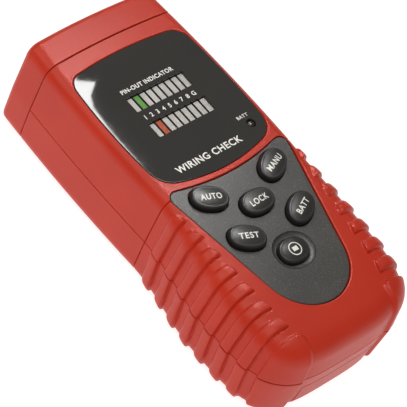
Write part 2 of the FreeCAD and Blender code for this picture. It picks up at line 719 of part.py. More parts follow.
def build():
    body = outer_body()
    cavity = inner_body()
    padded = body.multiFuse(ribs() + bumpers()).removeSplitter()
    parts = {
        "front_shell": front_shell(padded, cavity),
        "rear_shell": rear_shell(padded, cavity),
        "end_cap": end_cap(body, cavity),
        "battery_door": battery_door(),
        "battery_foam_pad": foam_pad(),
        "faceplate": faceplate(),
        "keypad_panel": keypad_panel(),
        "keypad_mat": keypad_mat(),
        "rj45_socket_left": jack(-1),
        "rj45_socket_right": jack(1),
        "socket_contacts_left": jack_contacts(-1),
        "socket_contacts_right": jack_contacts(1),
        "case_screws": case_screws(),
    }
    parts.update(keys())
    parts.update(display())
    parts.update(electronics())
    parts.update(battery())
    parts.update(leads())
    return parts


os.makedirs("parts", exist_ok=True)
for node, shape in build().items():
    count = len(shape.Solids)
    size = shape.BoundBox
    print("%-26s solids %2d valid %s  x %.1f..%.1f y %.1f..%.1f z %.1f..%.1f vol %.0f" % (
        node, count, shape.isValid(), size.XMin, size.XMax, size.YMin, size.YMax,
        size.ZMin, size.ZMax, shape.Volume))
    shape.exportStep("parts/%s.step" % node)
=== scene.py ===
import json
import math

import bmesh
import bpy
import numpy as np
from mathutils import Matrix, Vector


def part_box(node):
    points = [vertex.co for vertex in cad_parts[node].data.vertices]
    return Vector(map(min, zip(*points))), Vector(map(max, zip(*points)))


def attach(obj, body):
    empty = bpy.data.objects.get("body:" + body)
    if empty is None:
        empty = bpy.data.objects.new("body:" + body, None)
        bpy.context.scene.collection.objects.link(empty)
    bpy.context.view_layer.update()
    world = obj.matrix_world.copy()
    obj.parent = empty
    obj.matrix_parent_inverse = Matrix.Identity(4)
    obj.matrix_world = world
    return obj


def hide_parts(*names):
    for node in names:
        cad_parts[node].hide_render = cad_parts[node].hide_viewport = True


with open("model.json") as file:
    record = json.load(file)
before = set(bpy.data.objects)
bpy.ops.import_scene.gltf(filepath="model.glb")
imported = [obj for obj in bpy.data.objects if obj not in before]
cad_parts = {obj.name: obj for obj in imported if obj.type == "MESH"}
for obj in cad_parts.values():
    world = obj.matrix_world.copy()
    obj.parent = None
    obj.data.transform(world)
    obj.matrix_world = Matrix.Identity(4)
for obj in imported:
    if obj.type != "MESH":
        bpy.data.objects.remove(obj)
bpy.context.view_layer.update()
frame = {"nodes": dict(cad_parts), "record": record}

MM = 0.001
nodes = frame["nodes"]


# ---------------------------------------------------------------- sizes (mm), from the CAD nodes
def size_mm(node):
    low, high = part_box(node)
    return np.array(low) / MM, np.array(high) / MM


HEIGHT = size_mm("end_cap")[1][2]
HEAD_Y = size_mm("end_cap")[1][1]
FOOT_Y = size_mm("battery_door")[0][1] - 0.1
BACK_Z = size_mm("rear_shell")[0][2]
PARTING_Z = size_mm("front_shell")[0][2]
SEAM_Y = 53.8
SEAM_RADIUS = 313.0
GRIP_Y = -1.2
FACE_FALL = 0.095
FACE_BLEND = 1.5
WALL = 2.0
BODY_HALF = 26.8
BODY_WAIST_Y = 17.2
BODY_BARREL = 0.0008
GRIP_SWELL = 3.8
GRIP_RAMP = 30.0
GRIP_FULL_Y = -33.6
CORNER_POWER = 3.5
SHOULDER_R = 4.2
GRIP_SHOULDER_R = 6.0
FOOT_R = 6.6
BACK_R = 4.6
BACK_FOOT_R = 2.5
HEAD_R = 1.9
BODY_LEAN = 1.5
GRIP_LEAN = 10.0
BACK_LEAN = 2.2
FOOT_LEAN = 5.0          # lean of the rear shell's wall at the foot

RIB_COUNT = 7
RIB_PITCH = 6.83
RIB_FIRST_Y = -4.4
RIB_LENGTH = 4.3
RIB_INNER_X = 23.5
RIB_INNER_STEP = 0.8
BUMPER_INNER_X = 16.5
BUMPER_Y = RIB_FIRST_Y - RIB_PITCH * RIB_COUNT

PANEL_Y = -13.6
PANEL_TOP = -0.35
OVAL_KEY = (12.0, 8.0)
POWER_KEY = (10.6, 8.2)
DOOR_TONGUE = 1.2        # the rails stand this far out of the battery door's panel
KEY_TOP = 1.9
POWER_TOP = 0.55         # the power key sits low in its dish
KEYS = {
    "auto": (-12.9, 7.55, -28.0),
    "manu": (12.9, 7.55, 28.0),
    "lock": (0.0, 0.0, 0.0),
    "batt": (11.0, -7.8, 28.0),
    "test": (-11.0, -7.8, -28.0),
    "power": (0.0, -17.4, 0.0),
}
UPPER_ROW_Y = 30.8
LOWER_ROW_Y = 20.6
WINDOW_X = 0.28
WINDOW_HALF = (11.38, 2.75)
WINDOW_CORNER = 0.25


# ---------------------------------------------------------------- camera
def placed(name, data):
    piece = bpy.data.objects.new(name, data)
    bpy.context.scene.collection.objects.link(piece)
    return piece


def make_camera():
    right = Vector((0.70616849, -0.63852868, 0.30595291))
    down = Vector((-0.38141754, -0.70711323, -0.59540872))
    forward = Vector((0.5965289, 0.30376307, -0.74288712))
    place = Vector((-527.135, -266.989, 670.702)) * MM
    turn = Matrix((right, -down, -forward)).transposed().to_4x4()
    data = bpy.data.cameras.new("camera")
    data.lens = 268.58
    data.sensor_width = 36.0
    data.clip_start = 0.05
    data.clip_end = 20.0
    camera = placed("camera", data)
    camera.matrix_world = Matrix.Translation(place) @ turn
    bpy.context.scene.camera = camera


make_camera()


# ---------------------------------------------------------------- the body's form (mm)
def smooth(value):
    value = np.clip(value, 0.0, 1.0)
    return value * value * (3.0 - 2.0 * value)


def fall_run(y):
    """Length of the face's fall at y, with a soft start."""
    run = GRIP_Y - np.asarray(y, float)
    soft = (run + FACE_BLEND) ** 2 / (4.0 * FACE_BLEND)
    return np.where(run < -FACE_BLEND, 0.0, np.where(run > FACE_BLEND, run, soft))


def face_z(y):
    return HEIGHT - FACE_FALL * fall_run(y)


def face_slope(y):
    run = GRIP_Y - np.asarray(y, float)
    return FACE_FALL * np.clip((run + FACE_BLEND) / (2.0 * FACE_BLEND), 0.0, 1.0)


def grip_share(y):
    return smooth((GRIP_Y - np.asarray(y, float)) / GRIP_RAMP)


def half_width(y):
    y = np.asarray(y, float)
    barrel = BODY_BARREL * (np.maximum(y, GRIP_Y) - BODY_WAIST_Y) ** 2
    return BODY_HALF - barrel + GRIP_SWELL * grip_share(y)


def trace_outline():
    """Right half of the plan outline at the parting plane, from the head to the foot's middle."""
    straight = np.linspace(HEAD_Y + 2.0, GRIP_FULL_Y, 1500)
    turn = (1.0 - np.cos(np.linspace(0.0, math.pi, 4000))) / 2.0 * math.pi / 2.0
    run = np.sin(turn) ** (2.0 / CORNER_POWER)
    corner_y = GRIP_FULL_Y - run * (GRIP_FULL_Y - FOOT_Y)
    corner_x = half_width(corner_y) * np.cos(turn) ** (2.0 / CORNER_POWER)
    corner_x[-1] = 0.0
    x = np.concatenate([half_width(straight), corner_x[1:]])
    y = np.concatenate([straight, corner_y[1:]])
    s = np.concatenate([[0.0], np.cumsum(np.hypot(np.diff(x), np.diff(y)))])
    even = np.linspace(0.0, s[-1], 2400)
    x, y = np.interp(even, s, x), np.interp(even, s, y)
    nx, ny = -np.gradient(y, even), np.gradient(x, even)
    kernel = np.hanning(41)
    kernel /= kernel.sum()
    nx = np.convolve(np.concatenate([np.full(20, nx[0]), nx, -nx[-2:-22:-1]]), kernel, "valid")
    ny = np.convolve(np.concatenate([np.full(20, ny[0]), ny, ny[-2:-22:-1]]), kernel, "valid")
    length = np.hypot(nx, ny)
    return even, x, y, nx / length, ny / length


OUT_S, OUT_X, OUT_Y, OUT_NX, OUT_NY = trace_outline()
FOOT_S = OUT_S[-1]


def s_of_y(y):
    return np.interp(-np.asarray(y, float), -OUT_Y, OUT_S)


def outline(s):
    """Plan point and outward normal at arc length s; beyond the foot's middle it runs up the left side."""
    s = np.asarray(s, float)
    side = np.where(s <= FOOT_S, 1.0, -1.0)
    t = np.where(s <= FOOT_S, s, 2.0 * FOOT_S - s)
    return (side * np.interp(t, OUT_S, OUT_X), np.interp(t, OUT_S, OUT_Y),
            side * np.interp(t, OUT_S, OUT_NX), np.interp(t, OUT_S, OUT_NY))


def s_of_x(x):
    """Arc length where the foot's corner passes x."""
    corner = OUT_Y < GRIP_FULL_Y
    return np.interp(-np.abs(x), -OUT_X[corner], OUT_S[corner])


def seam_drop(x):
    return SEAM_RADIUS - np.sqrt(SEAM_RADIUS ** 2 - np.asarray(x, float) ** 2)


# ---------------------------------------------------------------- relief: ribs, bumpers, grooves
RIB_PROFILE = np.array([      # run from the rib's leading foot, height (mm)
    (0.0, 0.0), (0.12, 0.1), (0.3, 0.34), (0.6, 0.58), (0.95, 0.72), (1.5, 0.84), (2.2, 0.93),
    (2.8, 0.98), (3.2, 1.0), (3.55, 0.97), (3.8, 0.84), (3.92, 0.58), (4.0, 0.25), (4.08, 0.0),
    (4.18, -0.13), (4.3, -0.13), (4.42, -0.04), (4.6, 0.0), (6.83, 0.0)])
RIB_COLUMNS = (0.0, 0.12, 0.3, 0.45, 0.6, 0.95, 1.4, 1.9, 2.4, 2.8, 3.2, 3.55, 3.8, 3.92, 4.0, 4.08,
               4.18, 4.3, 4.42, 4.6, 5.0, 5.5, 6.1)
RIB_END = (0.6, 1.3)          # slope of a rib's inner end, how far its leading side is cut back
BUMPER_END = (1.3, 2.6)       # slope of the bumper's inner end, radius of its corner
BUMPER_STEP = 0.8
GROOVE = (0.42, 0.25, 0.17)   # the cross groove: depth, place past GRIP_Y, width
GROOVE_END = (22.6, 0.7)      # inner end of the groove, and its slope
LAND_DRIFT = 0.7              # the ribs lean towards the foot below the parting plane
DRIFT_RUN = 20.0              # length at the foot over which that lean fades in
BACK_FADE = 1.6               # the pads fade out this far above the back


def rounded_end(run, radius):
    """How far a pad's rounded corner cuts back its inner end, at this run along the pad."""
    inside = np.clip((radius - run) / radius, 0.0, 1.0)
    return radius * (1.0 - np.sqrt(np.maximum(1.0 - inside ** 2, 0.0)))


def relief(x, y, z):
    """Height of the raised pads and depth of the grooves at a point of the grip's skin."""
    x, y, z = np.broadcast_arrays(np.abs(x), y, z)
    drift = LAND_DRIFT * smooth((PARTING_Z - z) / PARTING_Z)
    run = RIB_FIRST_Y - (y + drift * smooth((y - FOOT_Y) / DRIFT_RUN))
    k = np.clip(np.floor(run / RIB_PITCH), 0, RIB_COUNT)
    along = run - k * RIB_PITCH
    inner = RIB_INNER_X - RIB_INNER_STEP * k
    slope, lead_cut = RIB_END
    cut_back = lead_cut * np.clip(1.0 - along / RIB_LENGTH, 0.0, 1.0) ** 1.5
    rib = np.interp(along, RIB_PROFILE[:, 0], RIB_PROFILE[:, 1])
    rib = np.where((run >= 0) & (k < RIB_COUNT), rib * smooth((x - inner - cut_back) / slope), 0.0)
    past = run - RIB_COUNT * RIB_PITCH
    slope, radius = BUMPER_END
    bumper = smooth((past + 0.05) / BUMPER_STEP)
    bumper = bumper * smooth((x - BUMPER_INNER_X - rounded_end(past, radius)) / slope)
    bumper = np.where(past >= 0, bumper, 0.0)
    depth, place, width = GROOVE
    groove = np.exp(-((y - GRIP_Y - place) / width) ** 2)
    groove = depth * groove * smooth((x - GROOVE_END[0]) / GROOVE_END[1])
    return (rib + bumper - groove) * smooth(z / BACK_FADE)


# ---------------------------------------------------------------- mesh helpers
SHARP = 35.0                  # edges that turn by more than this stay sharp, degrees


def collection_mesh(name, points, faces, sharp=SHARP):
    """A mesh object from points in mm."""
    mesh = bpy.data.meshes.new(name)
    mesh.from_pydata((np.asarray(points, float) * MM).tolist(), [], [list(map(int, f)) for f in faces])
    tidy(mesh, sharp)
    return placed(name, mesh)


def tidy(mesh, sharp):
    """Consistent outward normals, smooth shading with sharp edges kept."""
    bm = bmesh.new()
    bm.from_mesh(mesh)
    bmesh.ops.remove_doubles(bm, verts=bm.verts, dist=1e-6)
    bmesh.ops.dissolve_degenerate(bm, dist=1e-7, edges=bm.edges)
    bmesh.ops.recalc_face_normals(bm, faces=bm.faces)
    limit = math.radians(sharp)
    for face in bm.faces:
        face.smooth = True
    for edge in bm.edges:
        edge.smooth = len(edge.link_faces) == 2 and edge.calc_face_angle(0.0) < limit
    bm.to_mesh(mesh)
    bm.free()


def apply_modifiers(piece):
    graph = bpy.context.evaluated_depsgraph_get()
    made = bpy.data.meshes.new_from_object(piece.evaluated_get(graph))
    piece.modifiers.clear()
    old = piece.data
    piece.data = made
    bpy.data.meshes.remove(old)


def combine(piece, tool, kind):
    """Cut, join or intersect piece with tool, and remove the tool."""
    change = piece.modifiers.new("change", "BOOLEAN")
    change.operation = kind
    change.solver = "MANIFOLD"
    change.object = tool
    apply_modifiers(piece)
    bpy.data.objects.remove(tool)
    tidy(piece.data, SHARP)
    return piece


def cut(piece, *tools):
    for tool in tools:
        combine(piece, tool, "DIFFERENCE")
    return piece


def join(piece, *tools):
    for tool in tools:
        combine(piece, tool, "UNION")
    return piece


def grid_faces(rows, columns, start=0, wrap=False):
    """Quads of a grid whose points are numbered row by row."""
    faces = []
    last = columns if wrap else columns - 1
    for r in range(rows - 1):
        for c in range(last):
            d = (c + 1) % columns
            a = start + r * columns
            b = a + columns
            faces.append((a + c, a + d, b + d, b + c))
    return faces


def stack(name, rings, sharp=SHARP):
    """A closed solid from a stack of closed rings with equal point counts, capped at both ends."""
    count = len(rings[0])
    points = np.concatenate([np.asarray(r, float) for r in rings])
    faces = grid_faces(len(rings), count, wrap=True)
    faces.append(tuple(range(count)))
    top = (len(rings) - 1) * count
    faces.append(tuple(range(top + count - 1, top - 1, -1)))
    return collection_mesh(name, points, faces, sharp)


def block(name, low, high, edge=0.0):
    """A box, with rounded edges if edge is given."""
    low, high = np.array(low, float), np.array(high, float)
    middle, half = (low + high) / 2.0, (high - low) / 2.0
    bm = bmesh.new()
    bmesh.ops.create_cube(bm, size=2.0)
    for vertex in bm.verts:
        vertex.co = Vector((middle + half * np.array(vertex.co)) * MM)
    if edge > 0:
        bmesh.ops.bevel(bm, geom=bm.edges[:], offset=edge * MM, segments=2, profile=0.5,
                        affect="EDGES")
    mesh = bpy.data.meshes.new(name)
    bm.to_mesh(mesh)
    bm.free()
    tidy(mesh, SHARP)
    return placed(name, mesh)


def superellipse(half_x, half_y, exponent, count):
    turn = np.linspace(0.0, 2.0 * math.pi, count, endpoint=False)
    c, s = np.cos(turn), np.sin(turn)
    return np.column_stack([half_x * np.sign(c) * np.abs(c) ** exponent,
                            half_y * np.sign(s) * np.abs(s) ** exponent])


def at_level(plan, z):
    return np.column_stack([plan, np.full(len(plan), z)])


def round_tool(middle, levels, count=48):
    """A round tool along Z: levels are (z, radius)."""
    middle = np.array(middle)[:2]
    return stack("tool", [at_level(superellipse(r, r, 1.0, count) + middle, z) for z, r in levels])


def rounded_tool(name, shape, levels):
    """A prism whose outline grows with height: shape(grow) gives plan points, levels are (z, grow)."""
    return stack(name, [at_level(shape(grow), z) for z, grow in levels])


def edge_levels(bottom, surface, grow, radius, top, steps=5):
    """Levels of a cutting prism that leaves a rounded rim on a surface at this height."""
    levels = [(bottom, grow)]
    for i in range(steps + 1):
        turn = math.pi / 2.0 * i / steps
        levels.append((surface - radius + radius * math.sin(turn),
                       grow + radius * (1.0 - math.cos(turn))))
    levels.append((top, grow + radius + 0.3))
    return levels


# ---------------------------------------------------------------- the two shells
def skin_columns():
    """Arc lengths of the skin's columns from the right end of the seam, round the foot, to the left."""
    ys = [SEAM_Y - d for d in (0.05, 0.09, 0.15, 0.24, 0.4, 0.9, 1.8, 3.2)]
    ys += list(np.arange(SEAM_Y - 5.0, GRIP_Y + 1.4, -1.5))
    ys += [GRIP_Y + d for d in (1.0, 0.75, 0.58, 0.45, 0.35, 0.25, 0.15, 0.05, -0.08, -0.3, -0.7,
                                -1.3, -2.0, -2.7)]
    for k in range(RIB_COUNT):
        ys += [RIB_FIRST_Y - RIB_PITCH * k - run for run in RIB_COLUMNS]
    ys += [BUMPER_Y - run for run in (0.0, 0.1, 0.2, 0.32, 0.45, 0.6, 0.78, 1.0)]
    s = list(s_of_y(ys))
    fine_end = float(s_of_x(BUMPER_INNER_X - 1.6))
    s += list(np.arange(s[-1] + 0.26, fine_end + 0.4, 0.26))
    rest = FOOT_S - s[-1]
    s += list(s[-1] + rest * np.linspace(0.0, 1.0, int(rest / 0.8) + 2)[1:])
    s = np.array(s)
    return np.concatenate([s, (2.0 * FOOT_S - s)[-2::-1]])


EDGE_ROWS = ((0.6, 0.07), (0.3, 0.07), (0.17, 0.09), (0.08, 0.14), (0.02, 0.22), (0.0, 0.34))


def skin_band(s, side, inset):
    """Points and normals of the band from the parting edge, round the shoulder, into the face."""
    x, y, nx, ny = outline(s)
    foot = smooth(-ny)
    if side > 0:
        lean = np.radians(BODY_LEAN + (GRIP_LEAN - BODY_LEAN) * grip_share(y))
        lean = lean * (1.0 - foot) + math.radians(4.0) * foot
        radius = SHOULDER_R + (GRIP_SHOULDER_R - SHOULDER_R) * grip_share(y)
        radius = radius * (1.0 - foot) + FOOT_R * foot
        level = face_z(y) - PARTING_Z
        end = math.pi / 2.0 + np.arctan(face_slope(y) * ny)
    else:
        lean = np.full(len(s), math.radians(BACK_LEAN)) * (1.0 - foot) + math.radians(FOOT_LEAN) * foot
        radius = BACK_R * (1.0 - foot) + BACK_FOOT_R * foot
        level = np.full(len(s), PARTING_Z - BACK_Z)
        end = np.full(len(s), math.pi / 2.0)
    det = np.sin(end - lean)
    right_1 = -radius
    right_2 = -radius + level * np.sin(end)
    mid_off = (right_1 * np.sin(end) - right_2 * np.sin(lean)) / det
    mid_h = (np.cos(lean) * right_2 - np.cos(end) * right_1) / det
    r = radius - inset
    start_h = mid_h + r * np.sin(lean)
    rows = []
    for depth, rise in EDGE_ROWS:
        rows.append(((-inset - rise * np.sin(lean)) / np.cos(lean) - (0.0 if inset else depth),
                     rise + 0.0 * lean, lean))
    first = EDGE_ROWS[-1][1]
    for share in np.linspace(0.0, 1.0, 13)[1:-1]:
        h = first + (start_h - first) * share
        rows.append(((-inset - h * np.sin(lean)) / np.cos(lean), h, lean))
    for share in np.linspace(0.0, 1.0, 15):
        turn = lean + (end - lean) * share
        rows.append((mid_off + r * np.cos(turn), mid_h + r * np.sin(turn), turn))
    for run in (0.35, 0.8, 1.4):
        rows.append((mid_off + r * np.cos(end) - run * np.sin(end),
                     mid_h + r * np.sin(end) + run * np.cos(end), end))
    points, normals = [], []
    for off, h, turn in rows:
        points.append(np.column_stack([x + nx * off, y + ny * off, PARTING_Z + side * h]))
        normals.append(np.column_stack([nx * np.cos(turn), ny * np.cos(turn), side * np.sin(turn)]))
    return np.array(points), np.array(normals)


def skin_fill(inner, split, side, inset):
    """The face or back inside the band: rows run across, columns run from the seam to the foot."""
    count = len(inner)
    right = inner[:split + 1]
    bottom = inner[split:count - split]
    left = inner[::-1][:split + 1]
    across = np.linalg.norm(np.diff(bottom[:, :2], axis=0), axis=1)
    u = np.concatenate([[0.0], np.cumsum(across)])
    u /= u[-1]
    weight = smooth((np.linspace(0.0, 1.0, split + 1) - 0.8) / 0.2)
    plan = right[:, None, :2] * (1.0 - u)[None, :, None] + left[:, None, :2] * u[None, :, None]
    straight = bottom[0, :2] * (1.0 - u)[:, None] + bottom[-1, :2] * u[:, None]
    plan = plan + weight[:, None, None] * (bottom[:, :2] - straight)[None]
    y = plan[..., 1]
    if side > 0:
        z = face_z(y) - inset * np.sqrt(1.0 + face_slope(y) ** 2)
        normal = np.stack([0.0 * y, -face_slope(y), 1.0 + 0.0 * y], -1)
        normal /= np.linalg.norm(normal, axis=-1, keepdims=True)
    else:
        z = np.full(y.shape, BACK_Z + inset)
        normal = np.stack([0.0 * y, 0.0 * y, -1.0 + 0.0 * y], -1)
    return np.dstack([plan, z]), normal


def seam_shift(points):
    """Bend the skin's head edge onto the seam's arc."""
    points = points.copy()
    share = smooth((points[..., 1] - 22.0) / (SEAM_Y - 22.0))
    points[..., 1] -= seam_drop(points[..., 0]) * share
    return points


def raise_skin(points, normals):
    height = relief(points[..., 0], points[..., 1], points[..., 2])
    near = np.clip(1.0 - (SEAM_Y - 0.05 - points[..., 1]) / 0.35, 0.0, 1.0)
    height = height - 0.35 * (1.0 - np.sqrt(1.0 - near ** 2))
    return points + normals * height[..., None]


def shell(name, side):
    """A moulded shell: ribbed outer skin and plain inner skin, closed along the parting edge and seam."""
    s = skin_columns()
    _, _, _, ny = outline(s)
    split = int(np.argmax(-ny > 0.7))
    parts = []
    for inset in (0.0, WALL):
        band, band_n = skin_band(s, side, inset)
        fill, fill_n = skin_fill(band[-1], split, side, inset)
        if inset == 0.0:
            band, fill = raise_skin(band, band_n), raise_skin(fill, fill_n)
        band, fill = seam_shift(band), seam_shift(fill)
        last = band[-1]
        fill[:, 0] = last[:split + 1]
        fill[:, -1] = last[::-1][:split + 1]
        fill[-1, :] = last[split:len(last) - split]
        parts += [band, fill]
    starts = np.cumsum([0] + [p.shape[0] * p.shape[1] for p in parts])
    points = np.concatenate([p.reshape(-1, 3) for p in parts])
    faces = []
    for part, start in zip(parts, starts):
        faces += grid_faces(part.shape[0], part.shape[1], int(start))
    rows, columns = parts[0].shape[:2]
    outer, inner = int(starts[0]), int(starts[2])
    for c in range(columns - 1):
        faces.append((outer + c, outer + c + 1, inner + c + 1, inner + c))
    for r in range(rows - 1):
        for c in (0, columns - 1):
            a, b = r * columns + c, (r + 1) * columns + c
            faces.append((outer + a, outer + b, inner + b, inner + a))
    outer, inner = int(starts[1]), int(starts[3])
    for c in range(parts[1].shape[1] - 1):
        faces.append((outer + c, outer + c + 1, inner + c + 1, inner + c))
    return collection_mesh(name, points, faces)


# ---------------------------------------------------------------- plans of the two insets
LOOP_POINTS = 260
KEY_POINTS = 96
KEY_POWER_LAW = 2.2           # squareness of a key's plan, 2 for an ellipse


def arc_points(a, b, c, count):
    """Points along the arc through three plan points, without the last."""
    ax, ay = a
    bx, by = b
    cx, cy = c
    d = 2.0 * (ax * (by - cy) + bx * (cy - ay) + cx * (ay - by))
    ux = ((ax * ax + ay * ay) * (by - cy) + (bx * bx + by * by) * (cy - ay)
          + (cx * cx + cy * cy) * (ay - by)) / d
    uy = ((ax * ax + ay * ay) * (cx - bx) + (bx * bx + by * by) * (ax - cx)
          + (cx * cx + cy * cy) * (bx - ax)) / d
    radius = math.hypot(ax - ux, ay - uy)
    start = math.atan2(ay - uy, ax - ux)
    middle = (math.atan2(by - uy, bx - ux) - start) % (2.0 * math.pi)
    end = (math.atan2(cy - uy, cx - ux) - start) % (2.0 * math.pi)
    if middle > end:
        end -= 2.0 * math.pi
    turn = start + end * np.arange(count) / count
    return np.column_stack([ux + radius * np.cos(turn), uy + radius * np.sin(turn)])


def even_loop(points, count):
    """The closed loop through these points, resampled evenly and lightly smoothed."""
    closed = np.vstack([points, points[:1]])
    s = np.concatenate([[0.0], np.cumsum(np.linalg.norm(np.diff(closed, axis=0), axis=1))])
    even = np.linspace(0.0, s[-1], count, endpoint=False)
    loop = np.column_stack([np.interp(even, s, closed[:, i]) for i in (0, 1)])
    for _ in range(3):
        loop = (np.roll(loop, 1, 0) + 2.0 * loop + np.roll(loop, -1, 0)) / 4.0
    return loop


def grown(loop, grow):
    """The loop moved outwards; it runs clockwise or anticlockwise."""
    tangent = np.roll(loop, -1, 0) - np.roll(loop, 1, 0)
    tangent /= np.linalg.norm(tangent, axis=1, keepdims=True)
    area = np.sum(loop[:, 0] * np.roll(loop[:, 1], -1) - np.roll(loop[:, 0], -1) * loop[:, 1])
    sign = 1.0 if area > 0 else -1.0
    return loop + sign * grow * np.column_stack([tangent[:, 1], -tangent[:, 0]])


def flip(p):
    return -p[0], p[1]


def plate_loop():
    low, high = size_mm("faceplate")
    half, top, foot = high[0], high[1], low[1]
    side_top, side_mid, side_foot = (half - 0.9, 42.2), (half, 22.0), (half - 0.6, 9.4)
    end_top, end_foot = (half - 6.6, top - 1.0), (half - 6.9, foot + 2.2)
    bend_top, bend_foot = (half - 2.5, top - 2.5), (half - 2.3, foot + 4.9)
    runs = [
        (flip(end_top), (0, top), end_top), (end_top, bend_top, side_top),
        (side_top, side_mid, side_foot), (side_foot, bend_foot, end_foot),
        (end_foot, (0, foot), flip(end_foot)), (flip(end_foot), flip(bend_foot), flip(side_foot)),
        (flip(side_foot), flip(side_mid), flip(side_top)),
        (flip(side_top), flip(bend_top), flip(end_top)),
    ]
    return even_loop(np.vstack([arc_points(*run, 60) for run in runs]), LOOP_POINTS)


def shield_loop():
    """The keypad panel's plan, from its own datum in the middle of the LOCK key."""
    foot_r, foot_y, lean = 15.4, -20.3, math.atan(0.24)
    tangent = (foot_r * math.cos(lean), foot_y - foot_r * math.sin(lean))
    side = (tangent[0] + (11.2 - tangent[1]) * math.tan(lean), 11.2)
    shoulder = (side[0] - 2.9, 14.6)
    corner = (side[0] - 0.45, 13.8)
    steps = np.arange(60)[:, None] / 60.0
    right = np.array(side) + (np.array(tangent) - np.array(side)) * steps
    left = np.array(flip(tangent)) + (np.array(flip(side)) - np.array(flip(tangent))) * steps
    runs = [
        arc_points(flip(shoulder), (0, 12.0), shoulder, 60),
        arc_points(shoulder, corner, side, 40), right,
        arc_points(tangent, (0, foot_y - foot_r), flip(tangent), 80), left,
        arc_points(flip(side), flip(corner), flip(shoulder), 40),
    ]
    return even_loop(np.vstack(runs), LOOP_POINTS)


PLATE = plate_loop()
SHIELD = shield_loop()
TILT = math.atan(FACE_FALL)


def on_face(points, x=0.0, y=0.0, turn=0.0):
    """Points about the keypad's datum, carried onto the sloping face."""
    points = np.atleast_2d(np.asarray(points, float))
    a = math.radians(turn)
    px = points[:, 0] * math.cos(a) - points[:, 1] * math.sin(a) + x
    py = points[:, 0] * math.sin(a) + points[:, 1] * math.cos(a)
    py = py + (PANEL_Y + y - GRIP_Y) / math.cos(TILT)
    pz = points[:, 2]
    return np.column_stack([px, GRIP_Y + py * math.cos(TILT) - pz * math.sin(TILT),
                            HEIGHT + py * math.sin(TILT) + pz * math.cos(TILT)])


def face_stack(name, plan, levels, x=0.0, y=0.0, turn=0.0):
    """A stack of rings on the sloping face: plan(grow) gives plan points, levels are (z, grow)."""
    return stack(name, [on_face(at_level(plan(grow), z), x, y, turn) for z, grow in levels])


def key_plan(name):
    """A key's plan as a function of how far it is grown."""
    width, length = POWER_KEY if name == "power" else OVAL_KEY

    def plan(grow):
        return superellipse(width / 2.0 + grow, length / 2.0 + grow, 2.0 / KEY_POWER_LAW, KEY_POINTS)
    return plan


# ---------------------------------------------------------------- case pieces
RIM = 0.45                    # rounding of the rims round the two insets
PLATE_SEAT = 1.02             # depth of the recess that the display plate lies in
PLATE_GAP = 0.16
PANEL_SEAT = 1.66
PANEL_GAP = 0.2
PANEL_LEDGE = 1.6             # rim under the keypad panel
LED_HOLE_R = 1.75
BOSSES = [(x, y) for x in (-19.2, 19.2) for y in (-45.0, 38.5)]
BOSS_LEVELS = ((1.0, 3.0), (23.1, 3.0))
SCREW_HOLE = ((-1.0, 3.3), (0.0, 2.62), (0.35, 2.5), (3.55, 2.5), (3.56, 1.45), (24.0, 1.45))
BAY_WALL = 1.2
BAY_FOOT = 2.3                # the bay's end wall starts this far inside the foot
BAY_HEAD = 6.6                # and its head wall ends this far past the door
DOOR_GAP = 0.2
LIP_GAP = 0.28


def make_front_shell():
    piece = shell("front_case", 1)
    recess = rounded_tool("tool", lambda g: grown(PLATE, g),
                          edge_levels(HEIGHT - PLATE_SEAT, HEIGHT, PLATE_GAP, RIM, HEIGHT + 0.6))
    pocket = face_stack("tool", lambda g: grown(SHIELD, g),
                        edge_levels(-PANEL_SEAT, 0.0, PANEL_GAP, RIM, 2.4))
    through = face_stack("tool", lambda g: grown(SHIELD, g), ((-8.0, -PANEL_LEDGE), (1.0, -PANEL_LEDGE)))
    tools = [recess, pocket, through]
    for row in ("upper", "lower"):
        low, high = size_mm("led_array_" + row + "_housing")
        tools.append(block("tool", (low[0] - 0.3, low[1] - 0.3, HEIGHT - 6),
                           (high[0] + 0.3, high[1] + 0.3, HEIGHT + 1)))
    low, high = size_mm("battery_led")
    tools.append(round_tool((low + high) / 2.0, ((HEIGHT - 5, LED_HOLE_R), (HEIGHT + 1, LED_HOLE_R)), 40))
    return cut(piece, *tools)


def bay_and_posts(piece):
    """Battery bay, screw posts and the opening for the battery door in the rear shell."""
    door_high = size_mm("battery_door")[1]
    battery_low, battery_high = size_mm("battery_9v")
    half = battery_high[0] + 0.55
    bay_top = battery_high[2] + 0.5
    foot = battery_low[1] - 0.6
    head = door_high[1] + BAY_HEAD
    walls = block("tool", (-half - BAY_WALL, FOOT_Y + BAY_FOOT, 1.5),
                  (half + BAY_WALL, head, bay_top + BAY_WALL))
    join(piece, walls, *[round_tool(boss, BOSS_LEVELS) for boss in BOSSES])
    room = block("tool", (-half, foot, -1.0), (half, head - BAY_WALL, bay_top))
    skin_half = door_high[0] - DOOR_TONGUE + DOOR_GAP
    rail_half = door_high[0] + DOOR_GAP
    door_end = door_high[1] + DOOR_GAP
    opening = block("tool", (-skin_half, foot - 0.2, -1.0), (skin_half, door_end, 2.4))
    rails = block("tool", (-rail_half, foot - 0.2, 1.1), (rail_half, door_end, 2.5))
    lip = block("tool", (-skin_half, FOOT_Y - 3.0, -1.0), (skin_half, foot + 0.4, door_high[2] + LIP_GAP))
    slot = block("tool", (-6.0, head - 3.0, bay_top - 8.4), (6.0, head + 1.0, bay_top - 1.0))
    cut(piece, room_above_floor(room, door_end), opening, rails, lip, slot)
    return cut(piece, *[round_tool(boss, SCREW_HOLE) for boss in BOSSES])


def room_above_floor(room, door_head):
    """The bay's room, with the back wall left in place past the door's head."""
    floor = block("floor", (-60, door_head, -5.0), (60, 60, 2.0))
    return combine(room, floor, "DIFFERENCE")


def make_rear_shell():
    return bay_and_posts(shell("rear_case", -1))


